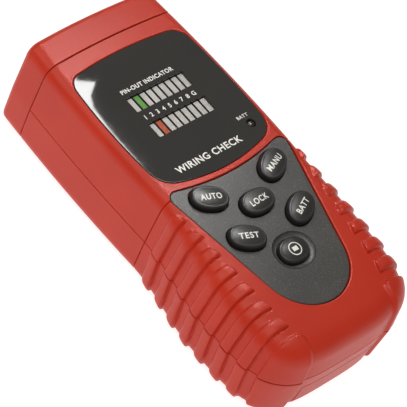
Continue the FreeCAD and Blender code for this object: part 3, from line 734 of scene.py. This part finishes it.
def cap_ring(y, inset):
    """Closed cross-section of the smooth body at y on the centre line, bowed, moved inwards by inset."""
    half = float(half_width(min(y, HEAD_Y)))
    quarters = []
    for side, lean, radius in ((1, math.radians(BODY_LEAN), SHOULDER_R),
                               (-1, math.radians(BACK_LEAN), BACK_R)):
        level = (HEIGHT - PARTING_Z) if side > 0 else PARTING_Z - BACK_Z
        r = max(radius - inset, 0.3)
        mid_h = level - inset - r
        mid_off = (-r - mid_h * math.sin(lean)) / math.cos(lean)
        edge = half - inset / math.cos(lean)
        points = [(edge - h * math.tan(lean), PARTING_Z + side * h)
                  for h in np.linspace(0.0, mid_h + r * math.sin(lean), 10)]
        turns = np.linspace(lean, math.pi / 2.0, 12)[1:]
        points += [(edge + mid_off + r * math.cos(t), PARTING_Z + side * (mid_h + r * math.sin(t)))
                   for t in turns]
        quarters.append(points)
    up, down = quarters
    across_top = [(x, up[-1][1]) for x in np.linspace(up[-1][0], -up[-1][0], 42)[1:-1]]
    across_back = [(x, down[-1][1]) for x in np.linspace(-down[-1][0], down[-1][0], 42)[1:-1]]
    left_up = [(-x, z) for x, z in up[::-1]]
    left_down = [(-x, z) for x, z in down[1:]]
    right_down = down[:0:-1]
    plan = np.array(up + across_top + left_up + left_down + across_back + right_down)
    return np.column_stack([plan[:, 0], y - seam_drop(plan[:, 0]), plan[:, 1]])


def cap_wall(inset, head_inset, seam_edge):
    """Rings from the seam to the middle of the head's end wall."""
    rings = [cap_ring(SEAM_Y + d, inset + e) for d, e in seam_edge]
    radius = max(HEAD_R - inset, 0.5)
    start = HEAD_Y - head_inset - radius
    rings += [cap_ring(y, inset) for y in np.linspace(SEAM_Y + 1.2, start, 6)]
    for turn in np.linspace(0.0, math.pi / 2.0, 10)[1:]:
        rings.append(cap_ring(start + radius * math.sin(turn), inset + radius * (1.0 - math.cos(turn))))
    last = rings[-1]
    middle = np.array((0.0, 0.0, last[:, 2].mean()))
    for share in (0.96, 0.88, 0.75, 0.6, 0.42, 0.24, 0.08):
        ring = middle + (last - middle) * share
        ring[:, 1] = start + radius - seam_drop(ring[:, 0])
        rings.append(ring)
    return rings


def bridge(count, first, second):
    """Faces between two closed loops of points that start at these numbers."""
    faces = []
    for c in range(count):
        d = (c + 1) % count
        faces.append((first + c, first + d, second + d, second + c))
    return faces


def make_end_cap():
    outer = cap_wall(0.0, 0.0, ((0.05, 0.45), (0.07, 0.3), (0.13, 0.17), (0.24, 0.07),
                                (0.38, 0.015), (0.5, 0.0)))
    inner = cap_wall(WALL, WALL, ((0.05, 0.0), (0.3, 0.0)))
    count = len(outer[0])
    points = np.concatenate(outer + inner)
    faces = grid_faces(len(outer), count, wrap=True)
    start = len(outer) * count
    faces += grid_faces(len(inner), count, start, wrap=True)
    faces += bridge(count, 0, start)
    top = (len(outer) - 1) * count
    faces.append(tuple(range(top, top + count)))
    top = start + (len(inner) - 1) * count
    faces.append(tuple(range(top + count - 1, top - 1, -1)))
    piece = collection_mesh("head_cap", points, faces)
    for side in ("left", "right"):
        low, high = size_mm("rj45_socket_" + side)
        cut(piece, flared_hole(low, high))
    return piece


def flared_hole(low, high):
    """A rectangular cutter along Y with rounded corners and a flared mouth."""
    middle = np.array(((low[0] + high[0]) / 2.0, (low[2] + high[2]) / 2.0))
    half = np.array(((high[0] - low[0]) / 2.0, (high[2] - low[2]) / 2.0))
    face = HEAD_Y - float(seam_drop(middle[0]))
    rings = []
    for y, grow in ((44.0, 0.2), (face - 0.45, 0.2), (face - 0.2, 0.28),
                    (face - 0.02, 0.5), (face + 3.0, 2.6)):
        ring = middle + superellipse(*(half + grow), 0.12, 64)
        rings.append(np.column_stack([ring[:, 0], np.full(64, y), ring[:, 1]]))
    return stack("tool", rings)


DOOR_LEAN = FOOT_LEAN - 0.8        # steeper than the case, so that the lip's top edge shows as a line
DOOR_INSET = 0.06                  # how far the lip lies inside the case's wall
DOOR_LIP = 2.23
DOOR_FLOOR = 2.0
DOOR_LINES = 49
RIDGES = (12.5, 4.0)               # where the grip ridges start and end, from the door's head
RIDGE_HALF = 11.0
RIDGE_FADE = 1.2
RIDGE_PITCH = 1.7
RIDGE_WIDTH = 0.32                 # as a share of the pitch
RIDGE_HEIGHT = 0.45


def make_battery_door():
    """Sliding door: flat panel in the back, a lip up the foot's end wall, rails, grip ridges."""
    high = size_mm("battery_door")[1]
    tongue, head, lip_top = high
    half = tongue - DOOR_TONGUE
    xs = np.linspace(-half, half, DOOR_LINES)
    level = np.ones(DOOR_LINES)
    foot_y = np.interp(s_of_x(xs), OUT_S, OUT_Y)
    lean = math.tan(math.radians(DOOR_LEAN))
    radius = BACK_FOOT_R
    outer = [(level * h, foot_y + DOOR_INSET + (PARTING_Z - h) * lean)
             for h in np.linspace(lip_top, radius, 12)]
    edge = (PARTING_Z - radius) * lean
    for turn in np.linspace(0.0, math.pi / 2.0, 9)[1:]:
        depth = edge + radius * (1.0 - math.cos(turn))
        outer.append((level * (radius - radius * math.sin(turn)), foot_y + DOOR_INSET + depth))
    ridge_low, ridge_high = head - RIDGES[0], head - RIDGES[1]
    inside = smooth((RIDGE_HALF - np.abs(xs)) / RIDGE_FADE)
    for y in np.concatenate([np.linspace(FOOT_Y + 4.6, ridge_low, 24),
                             np.linspace(ridge_low, ridge_high, 76)[1:-1],
                             np.linspace(ridge_high, head, 8)]):
        phase = (y - ridge_low) / RIDGE_PITCH % 1.0
        ridge = RIDGE_HEIGHT * inside * smooth(1.0 - abs(phase - 0.5) / RIDGE_WIDTH)
        outer.append((ridge if ridge_low < y < ridge_high else 0.0 * xs, level * y))
    wall = foot_y + DOOR_INSET + DOOR_LIP
    bend = 0.6
    inner = [(level * DOOR_FLOOR, level * head), (level * DOOR_FLOOR, wall + bend),
             (level * (DOOR_FLOOR + bend), wall), (level * lip_top, wall)]
    lines = [np.column_stack([xs, y, z]) for z, y in outer + inner]
    piece = stack("battery_cover", list(np.array(lines).transpose(1, 0, 2)))
    rail = block("tool", (-tongue, FOOT_Y + 4.0, 1.3), (tongue, head - 0.1, 2.1), 0.15)
    return join(piece, rail)


def rounded_rectangle(half_x, half_y, corner):
    plan = []
    for sx, sy, first in ((1, 1, 0.0), (-1, 1, 90.0), (-1, -1, 180.0), (1, -1, 270.0)):
        for turn in np.radians(first + np.linspace(0.0, 90.0, 5)):
            plan.append((sx * (half_x - corner) + corner * math.cos(turn),
                         sy * (half_y - corner) + corner * math.sin(turn)))
    return np.array(plan)


def make_faceplate():
    low, high = size_mm("faceplate")
    bottom, top = low[2], high[2]
    levels = ((bottom, -0.05), (top - 0.2, 0.0), (top - 0.1, -0.02), (top - 0.03, -0.08), (top, -0.18))
    piece = rounded_tool("display_plate", lambda g: grown(PLATE, g), levels)
    for y in (UPPER_ROW_Y, LOWER_ROW_Y):
        def window(grow):
            plan = rounded_rectangle(WINDOW_HALF[0] + grow, WINDOW_HALF[1] + grow, WINDOW_CORNER)
            return plan + (WINDOW_X, y)
        cut(piece, rounded_tool("tool", window, ((bottom - 1.0, 0.0), (top - 0.03, 0.0), (top + 0.5, 0.2))))
    led_low, led_high = size_mm("battery_led")
    well = ((bottom - 1.0, 1.5), (top - 0.15, 1.5), (top + 0.4, 2.05))
    return cut(piece, round_tool((led_low + led_high) / 2.0, well))


BOWL_TURN = math.radians(62.0)     # the dish round the power key ends at this slope
BOWL_DEPTH = 0.9
BOWL_WIDTH = 1.55


def power_bowl():
    levels = [(-1.3, 0.3)]
    for turn in np.linspace(0.0, BOWL_TURN, 9):
        levels.append((-1.25 + BOWL_DEPTH * (1.0 - math.cos(turn)) / (1.0 - math.cos(BOWL_TURN)),
                       0.35 + BOWL_WIDTH * math.sin(turn) / math.sin(BOWL_TURN)))
    return levels + [(PANEL_TOP + 0.02, 2.0), (PANEL_TOP + 0.4, 2.4)]


def make_keypad_panel():
    levels = ((-1.62, -0.05), (PANEL_TOP - 0.45, 0.0), (PANEL_TOP - 0.22, -0.05),
              (PANEL_TOP - 0.08, -0.17), (PANEL_TOP, -0.4))
    piece = face_stack("keypad_cover", lambda g: grown(SHIELD, g), levels)
    for name, place in KEYS.items():
        if name == "power":
            openings = (power_bowl(), ((-4.0, 0.25), (0.5, 0.25)))
        else:
            openings = (edge_levels(-4.0, PANEL_TOP, 0.22, 0.25, 1.0, 4),)
        for levels in openings:
            cut(piece, face_stack("tool", key_plan(name), levels, *place))
    return piece


KEY_FOOT_LEVELS = ((-2.45, 0.75), (-1.8, 0.75), (-1.75, 0.0))
KEY_EDGE_LEVELS = ((-1.5, -0.02), (-1.15, -0.05), (-0.8, -0.14), (-0.58, -0.28), (-0.44, -0.46),
                   (-0.37, -0.62), (-0.35, -0.72), (-0.365, -0.84), (-0.36, -0.98))
CROWN_START = 0.98
CROWN_RISE = 0.36


def key_top(name):
    return POWER_TOP if name == "power" else KEY_TOP


def crown(name, share):
    """Height of a key's top; share runs from 0 at its middle to 1 at its rim."""
    return key_top(name) - CROWN_RISE * share ** 2


def make_key(name):
    plan = key_plan(name)
    loops = [(plan(grow), z) for z, grow in KEY_FOOT_LEVELS]
    loops += [(plan(grow), key_top(name) + z) for z, grow in KEY_EDGE_LEVELS]
    loops += [(plan(-CROWN_START) * share, crown(name, share))
              for share in (0.9, 0.78, 0.64, 0.5, 0.36, 0.22, 0.1)]
    rings = [on_face(at_level(loop, z), *KEYS[name]) for loop, z in loops]
    return stack("button_" + name, rings, 40.0)


# ---------------------------------------------------------------- printed legends
PRINT_THICK = 0.03


def glyphs(text, cap_height, bold, width, gap=1.1):
    """Points (mm, about the text's middle) and faces of a line of lettering."""
    curve = bpy.data.curves.new("lettering", "FONT")
    curve.body = text
    curve.size = cap_height / 0.72
    curve.align_x = "CENTER"
    curve.space_character = gap
    curve.extrude = PRINT_THICK / 2.0
    curve.offset = bold * cap_height
    curve.resolution_u = 5
    holder = placed("lettering", curve)
    graph = bpy.context.evaluated_depsgraph_get()
    mesh = bpy.data.meshes.new_from_object(holder.evaluated_get(graph))
    points = np.array([v.co for v in mesh.vertices], float).reshape(-1, 3)
    faces = [tuple(p.vertices) for p in mesh.polygons]
    bpy.data.objects.remove(holder)
    bpy.data.curves.remove(curve)
    bpy.data.meshes.remove(mesh)
    low, high = points.min(0), points.max(0)
    points[:, 0] -= (low[0] + high[0]) / 2.0
    points[:, 1] -= cap_height / 2.0
    points[:, 2] += PRINT_THICK / 2.0
    if width:
        points[:, 0] *= width / (high[0] - low[0])
    return points, faces


def gridded(points, faces, step=0.3):
    """The same surface cut along a fine grid, so that it can follow a curved one."""
    bm = bmesh.new()
    made = [bm.verts.new(p) for p in points]
    for face in faces:
        try:
            bm.faces.new([made[i] for i in face])
        except ValueError:
            continue
    bmesh.ops.remove_doubles(bm, verts=bm.verts, dist=1e-4)
    low, high = points.min(0), points.max(0)
    for axis in (0, 1):
        normal = [0.0, 0.0, 0.0]
        normal[axis] = 1.0
        for level in np.arange(low[axis] + step, high[axis], step):
            place = [0.0, 0.0, 0.0]
            place[axis] = level
            parts = bm.verts[:] + bm.edges[:] + bm.faces[:]
            bmesh.ops.bisect_plane(bm, geom=parts, dist=1e-5, plane_co=place, plane_no=normal)
    bm.verts.index_update()
    cut_points = np.array([v.co for v in bm.verts], float)
    cut_faces = [tuple(v.index for v in f.verts) for f in bm.faces]
    bm.free()
    return cut_points, cut_faces


def merged(parts):
    """Points and faces of several small meshes as one."""
    points, faces, start = [], [], 0
    for part_points, part_faces in parts:
        points.append(part_points)
        faces += [tuple(i + start for i in face) for face in part_faces]
        start += len(part_points)
    return np.concatenate(points), faces


def flat_print(name, items):
    """Lettering on the display plate: items are (text, x, y, cap height, bold, width)."""
    top = size_mm("faceplate")[1][2]
    parts = []
    for text, x, y, cap_height, bold, width in items:
        points, faces = glyphs(text, cap_height, bold, width)
        parts.append((points + np.array((x, y, top)), faces))
    return collection_mesh(name, *merged(parts), 30.0)


def annulus(radius, width, count=64):
    turn = np.linspace(0.0, 2.0 * math.pi, count, endpoint=False)
    circle = np.column_stack([np.cos(turn), np.sin(turn)])
    loops = [np.column_stack([circle * r, np.full(count, z)]) for r, z in (
        (radius, 0.0), (radius, PRINT_THICK), (radius - width, PRINT_THICK), (radius - width, 0.0))]
    return np.concatenate(loops), grid_faces(4, count, wrap=True) + bridge(count, 3 * count, 0)


def small_slab(half_x, half_y):
    corners = [(-half_x, -half_y), (half_x, -half_y), (half_x, half_y), (-half_x, half_y)]
    points = np.array([(x, y, z) for z in (0.0, PRINT_THICK) for x, y in corners])
    faces = [(3, 2, 1, 0), (4, 5, 6, 7), (0, 1, 5, 4), (1, 2, 6, 5), (2, 3, 7, 6), (3, 0, 4, 7)]
    return points, faces


LEGEND_WIDTHS = {"auto": 6.9, "manu": 7.1, "lock": 6.7, "batt": 6.2, "test": 6.5}
LEGEND_TURNS = {"auto": -20.0, "manu": 20.0, "lock": 2.0, "batt": 24.0, "test": -21.0, "power": 0.0}


def key_print(name):
    """The legend on a key's crown."""
    x, y, turn = KEYS[name]
    if name == "power":
        points, faces = merged([annulus(2.15, 0.32), small_slab(0.95, 0.7)])
    else:
        points, faces = glyphs(name.upper(), 1.9, 0.03, LEGEND_WIDTHS[name], 1.14)
    points, faces = gridded(points, faces)
    skew = math.radians(LEGEND_TURNS[name] - turn)
    points[:, :2] = points[:, :2] @ np.array([[math.cos(skew), math.sin(skew)],
                                              [-math.sin(skew), math.cos(skew)]])
    plan = key_plan(name)(-CROWN_START)
    a, b = plan[:, 0].max(), plan[:, 1].max()
    share = np.hypot(points[:, 0] / a, points[:, 1] / b)
    points[:, 2] += crown(name, share) + 0.004
    return collection_mesh("legend_" + name, on_face(points, x, y, turn), faces, 30.0)


DIGITS = "12345678G"


def plate_prints():
    items = [("PIN-OUT INDICATOR", -0.7, 35.75, 1.45, 0.03, 20.6),
             ("BATT", 16.8, 11.8, 1.15, 0.02, 4.2),
             ("WIRING CHECK", -2.0, 6.1, 2.25, 0.03, 26.0)]
    for i, digit in enumerate(DIGITS):
        items.append((digit, -10.2 + 2.42 * i, 25.5, 1.5, 0.025, None))
    return flat_print("plate_legends", items)


# ---------------------------------------------------------------- materials
def ramp_between(tree, factor, low, high):
    mix = tree.nodes.new("ShaderNodeMix")
    mix.data_type = "RGBA"
    mix.inputs["A"].default_value = (*low, 1.0)
    mix.inputs["B"].default_value = (*high, 1.0)
    tree.links.new(factor, mix.inputs["Factor"])
    return mix.outputs["Result"]


def noise(tree, size, detail):
    """Noise whose features are about size mm across."""
    place = tree.nodes.new("ShaderNodeTexCoord")
    texture = tree.nodes.new("ShaderNodeTexNoise")
    texture.inputs["Scale"].default_value = 1.0 / (size * MM)
    texture.inputs["Detail"].default_value = detail
    tree.links.new(place.outputs["Object"], texture.inputs["Vector"])
    return texture.outputs["Fac"]


def remap(tree, value, low, high, start=0.3, end=0.7):
    node = tree.nodes.new("ShaderNodeMapRange")
    node.inputs["From Min"].default_value = start
    node.inputs["From Max"].default_value = end
    node.inputs["To Min"].default_value = low
    node.inputs["To Max"].default_value = high
    tree.links.new(value, node.inputs["Value"])
    return node.outputs["Result"]


def moulded(name, dark, light, rough, grain, bump, patch, metallic=0.0, specular=0.5, depth=0.02,
            sheen=0.0):
    """Plastic, rubber or metal with fine moulded grain, slow colour change and uneven gloss."""
    material = bpy.data.materials.new(name)
    material.use_nodes = True
    tree = material.node_tree
    shader = tree.nodes["Principled BSDF"]
    shader.inputs["Metallic"].default_value = metallic
    shader.inputs["Specular IOR Level"].default_value = specular
    shader.inputs["Sheen Weight"].default_value = sheen
    slow = noise(tree, patch, 2.0)
    tree.links.new(ramp_between(tree, remap(tree, slow, 0.0, 1.0), dark, light),
                   shader.inputs["Base Color"])
    fine = noise(tree, grain, 2.5)
    tree.links.new(remap(tree, fine, *rough), shader.inputs["Roughness"])
    relief_node = tree.nodes.new("ShaderNodeBump")
    relief_node.inputs["Strength"].default_value = bump
    relief_node.inputs["Distance"].default_value = depth * MM
    tree.links.new(fine, relief_node.inputs["Height"])
    tree.links.new(relief_node.outputs["Normal"], shader.inputs["Normal"])
    return material


def speckle(material, colour):
    """Fine light specks over a material's own colour."""
    tree = material.node_tree
    shader = tree.nodes["Principled BSDF"]
    base = shader.inputs["Base Color"].links[0].from_socket
    lighter = tree.nodes.new("ShaderNodeMix")
    lighter.data_type = "RGBA"
    lighter.inputs["B"].default_value = (*colour, 1.0)
    tree.links.new(remap(tree, noise(tree, 0.3, 1.0), 0.0, 0.8, 0.58, 0.7), lighter.inputs["Factor"])
    tree.links.new(base, lighter.inputs["A"])
    tree.links.new(lighter.outputs["Result"], shader.inputs["Base Color"])


def lit(material, colour, strength):
    shader = material.node_tree.nodes["Principled BSDF"]
    shader.inputs["Emission Color"].default_value = (*colour, 1.0)
    shader.inputs["Emission Strength"].default_value = strength


def grey(level):
    return level, level, level


RED = {"depth": 0.055, "specular": 0.3}
METAL = {"metallic": 1.0}
BAR = {"specular": 0.12}
FINISHES = {     # dark and light colour, roughness, grain (mm), bump, colour patch (mm), the rest
    "housing_red": ((0.515, 0.024, 0.0065), (0.565, 0.0295, 0.0085), (0.34, 0.46), 0.42, 0.9, 16.0, RED),
    "door_red": ((0.51, 0.0235, 0.0065), (0.56, 0.029, 0.0085), (0.34, 0.46), 0.42, 0.9, 16.0, RED),
    "plate_black": ((0.035, 0.034, 0.0338), (0.0392, 0.038, 0.0377), (0.03, 0.05), 2.0, 0.02, 20.0,
                    {"depth": 0.004}),
    "panel_grey": ((0.037, 0.0355, 0.0352), (0.052, 0.0502, 0.0498), (0.36, 0.5), 0.32, 0.8, 14.0,
                   {"depth": 0.035}),
    "silicone": ((0.5, 0.5, 0.47), (0.56, 0.56, 0.53), (0.55, 0.7), 0.5, 0.2, 6.0),
    "key_black": (grey(0.011), (0.016, 0.0155, 0.016), (0.3, 0.4), 0.25, 0.2, 4.0,
                  {"depth": 0.015, "specular": 0.45}),
    "carbon": (grey(0.01), grey(0.03), (0.7, 0.85), 0.12, 0.4, 1.0),
    "led_case": (grey(0.006), grey(0.01), (0.6, 0.75), 0.3, 0.2, 4.0, {"specular": 0.08}),
    "led_idle": ((0.47, 0.463, 0.457), (0.56, 0.552, 0.545), (0.4, 0.55), 0.6, 0.1, 1.8,
                 {"specular": 0.3}),
    "led_green": ((0.088, 0.268, 0.042), (0.115, 0.318, 0.058), (0.3, 0.45), 0.5, 0.05, 1.2, BAR),
    "led_red": ((0.4, 0.064, 0.02), (0.47, 0.084, 0.028), (0.3, 0.45), 0.5, 0.05, 1.2, BAR),
    "led_clear": ((0.02, 0.018, 0.018), (0.04, 0.035, 0.035), (0.12, 0.2), 0.5, 0.05, 1.0),
    "board_green": ((0.012, 0.10, 0.03), (0.03, 0.17, 0.06), (0.3, 0.42), 0.8, 0.25, 3.0),
    "ic_black": ((0.015, 0.015, 0.016), (0.028, 0.028, 0.03), (0.5, 0.7), 0.15, 0.4, 2.0),
    "tinned": ((0.55, 0.55, 0.56), grey(0.7), (0.25, 0.4), 0.2, 0.2, 1.5, METAL),
    "gold": ((0.75, 0.5, 0.16), (0.9, 0.66, 0.26), (0.18, 0.3), 0.3, 0.1, 1.0, METAL),
    "socket_black": (grey(0.014), grey(0.024), (0.4, 0.55), 0.3, 0.25, 5.0),
    "steel": ((0.45, 0.45, 0.46), grey(0.62), (0.28, 0.45), 0.25, 0.2, 2.0, METAL),
    "battery_wrap": ((0.02, 0.025, 0.05), (0.04, 0.05, 0.09), (0.2, 0.32), 1.0, 0.1, 9.0),
    "snap_vinyl": (grey(0.012), grey(0.03), (0.45, 0.6), 0.4, 0.3, 3.0),
    "wire_red": ((0.5, 0.02, 0.02), (0.62, 0.04, 0.03), (0.35, 0.45), 0.5, 0.1, 3.0),
    "wire_black": (grey(0.012), grey(0.025), (0.35, 0.45), 0.5, 0.1, 3.0),
    "foam": ((0.05, 0.05, 0.052), (0.09, 0.09, 0.095), (0.85, 0.98), 0.5, 1.0, 2.0,
             {"depth": 0.2, "sheen": 0.2}),
    "sleeve": ((0.05, 0.07, 0.2), (0.08, 0.1, 0.28), (0.25, 0.35), 0.8, 0.1, 3.0),
    "print_white": ((0.88, 0.88, 0.87), (0.95, 0.95, 0.94), (0.4, 0.55), 0.2, 0.1, 1.5),
}
MATERIALS = {}
for name, values in FINISHES.items():
    extras = values[6] if len(values) > 6 else {}
    MATERIALS[name] = moulded(name, *values[:6], **extras)
speckle(MATERIALS["panel_grey"], (0.15, 0.145, 0.142))
lit(MATERIALS["led_green"], (0.16, 0.62, 0.12), 0.03)
lit(MATERIALS["led_red"], (0.75, 0.16, 0.06), 0.03)


# ---------------------------------------------------------------- assembling the pieces
def finish_piece(piece, body, slot_name, *stands_for, material=None):
    piece.data.materials.clear()
    piece.data.materials.append(MATERIALS[material or slot_name])
    weighted = piece.modifiers.new("weighted", "WEIGHTED_NORMAL")
    weighted.keep_sharp = True
    weighted.weight = 60
    apply_modifiers(piece)
    if stands_for:
        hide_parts(*stands_for)
    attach(piece, body)
    return piece


def softened(node, edge):
    """A copy of a CAD node with its hard edges rounded."""
    mesh = nodes[node].data.copy()
    bm = bmesh.new()
    bm.from_mesh(mesh)
    bmesh.ops.remove_doubles(bm, verts=bm.verts, dist=2e-6)
    bmesh.ops.dissolve_limit(bm, angle_limit=math.radians(1.0), verts=bm.verts, edges=bm.edges)
    hard = [e for e in bm.edges if len(e.link_faces) == 2 and e.calc_face_angle(0.0) > math.radians(40.0)]
    bmesh.ops.bevel(bm, geom=hard, offset=edge * MM, segments=2, profile=0.5, affect="EDGES",
                    clamp_overlap=True)
    bm.to_mesh(mesh)
    bm.free()
    tidy(mesh, SHARP)
    return placed(node + "_moulded", mesh)


body_of_node = {n: b for b, members in frame["record"]["behaviour"]["bodies"].items() for n in members}
slot_of_node = {s["node"]: s["material_slot"] for s in frame["record"]["subparts"]}

finish_piece(make_front_shell(), "case", "housing_red", "front_shell")
finish_piece(make_rear_shell(), "case", "housing_red", "rear_shell")
finish_piece(make_end_cap(), "case", "housing_red", "end_cap")
finish_piece(make_battery_door(), "battery_cover", "door_red", "battery_door")
finish_piece(make_faceplate(), "case", "plate_black", "faceplate")
finish_piece(make_keypad_panel(), "case", "panel_grey", "keypad_panel")
finish_piece(plate_prints(), "case", "plate_black", material="print_white")
for key in KEYS:
    finish_piece(make_key(key), key + "_key", "key_black", "key_" + key)
    finish_piece(key_print(key), key + "_key", "key_black", material="print_white")


FOAM_COLUMNS = 160
FOAM_SQUARENESS = 0.16
FOAM_SWELL = 0.28                  # how far the sides bulge
FOAM_INSET = 0.3
FOAM_PORES = 0.07                  # depth of the uneven top
FOAM_EDGE = 0.06


def make_foam():
    """Foam on the battery door: sides that swell a little, soft edges and an uneven open-cell top."""
    low, high = size_mm("battery_foam_pad")
    middle, half = (low + high) / 2.0, (high - low) / 2.0
    unit = superellipse(1.0, 1.0, FOAM_SQUARENESS, FOAM_COLUMNS)
    random = np.random.default_rng(7)
    rings = []
    for level in np.linspace(-1.0, 1.0, 15):
        swell = FOAM_SWELL * (1.0 - abs(level) ** 4) - FOAM_INSET
        rings.append(at_level(unit * (half[:2] + swell), half[2] * level))
    rim = rings[-1][:, :2]
    for share in np.linspace(0.96, 0.06, 14):
        dip = random.uniform(0.0, FOAM_PORES, FOAM_COLUMNS) + FOAM_EDGE * share ** 6
        rings.append(np.column_stack([rim * share, half[2] - dip]))
    return stack("foam_pad", [ring + middle for ring in rings], 60.0)


foam = finish_piece(make_foam(), "battery_cover", "foam", "battery_foam_pad")

SOFT_EDGES = {
    "led_array_upper_housing": 0.12, "led_array_lower_housing": 0.12, "led_bars_upper": 0.1,
    "led_bars_lower": 0.1, "led_bar_green_lit": 0.1, "led_bar_red_lit": 0.1,
    "rj45_socket_left": 0.18, "rj45_socket_right": 0.18, "battery_snap": 0.35,
    "microcontroller": 0.06, "line_driver_chips": 0.05, "chip_resistors": 0.06,
    "main_board": 0.08,
}
for node, edge in SOFT_EDGES.items():
    finish_piece(softened(node, edge), body_of_node[node], slot_of_node[node], node)

for node, piece in nodes.items():
    if piece.hide_render:
        continue
    piece.data.materials.clear()
    piece.data.materials.append(MATERIALS[slot_of_node[node]])


# ---------------------------------------------------------------- floor and light
FLOOR_HALF = 3000.0
FLOOR_GAP = 0.02
FLOOR_GLOW = 0.86
WORLD_LIGHT = 0.31
OVERHEAD_POWER = 7.4
KEY_POWER = 2.6
WARM = (1.0, 0.955, 0.88)
CARD_DISTANCE = 130.0
CARD_GLOW = 18.0
CARD_IMAGE = (            # where the card's mirror image falls, on the display plate's plane
    (-24.0, -34.0), (-26.5, 0.0), (-23.1, 13.0), (-23.0, 26.0), (-22.0, 35.5), (-19.8, 39.4),
    (-15.2, 42.6), (-19.8, 45.6), (-20.0, 60.0), (-50.0, 60.0), (-54.0, -34.0))


def make_floor():
    corners = np.array(((-1, -1), (1, -1), (1, 1), (-1, 1))) * FLOOR_HALF
    floor = collection_mesh("floor", at_level(corners, BACK_Z - FLOOR_GAP), [(0, 1, 2, 3)])
    material = moulded("floor_white", grey(0.35), grey(0.37), (0.7, 0.8), 1.5, 0.05, 80.0)
    lit(material, grey(1.0), FLOOR_GLOW)
    floor.data.materials.append(material)


def soft_light(name, place, size, power):
    data = bpy.data.lights.new(name, "AREA")
    data.shape = "RECTANGLE"
    data.size, data.size_y = size
    data.energy = power
    data.color = WARM
    light = placed(name, data)
    light.location = place
    light.rotation_euler = (-Vector(place)).to_track_quat("-Z", "Y").to_euler()
    light.visible_camera = False


def make_card():
    """A bright card that only gloss sees; its mirror image falls in the plate's left corner."""
    eye = np.array(bpy.context.scene.camera.matrix_world.translation) / MM
    level = size_mm("faceplate")[1][2]
    points = []
    for x, y in CARD_IMAGE:
        glance = np.array((x, y, level)) - eye
        glance /= np.linalg.norm(glance)
        points.append(np.array((x, y, level)) + CARD_DISTANCE * glance * (1.0, 1.0, -1.0))
    card = collection_mesh("card", points, [tuple(range(len(points)))])
    material = bpy.data.materials.new("card_white")
    material.use_nodes = True
    lit(material, grey(1.0), CARD_GLOW)
    card.data.materials.append(material)
    card.visible_camera = False
    card.visible_diffuse = False
    card.visible_shadow = False


make_floor()
make_card()
soft_light("overhead", (-0.25, -0.15, 1.3), (1.1, 1.1), OVERHEAD_POWER)
soft_light("key", (-0.54, 0.5, 0.95), (0.5, 0.5), KEY_POWER)
world = bpy.data.worlds.new("studio")
world.use_nodes = True
world.node_tree.nodes["Background"].inputs["Color"].default_value = (*WARM, 1.0)
world.node_tree.nodes["Background"].inputs["Strength"].default_value = WORLD_LIGHT
bpy.context.scene.world = world
bpy.context.scene.view_settings.view_transform = "Standard"
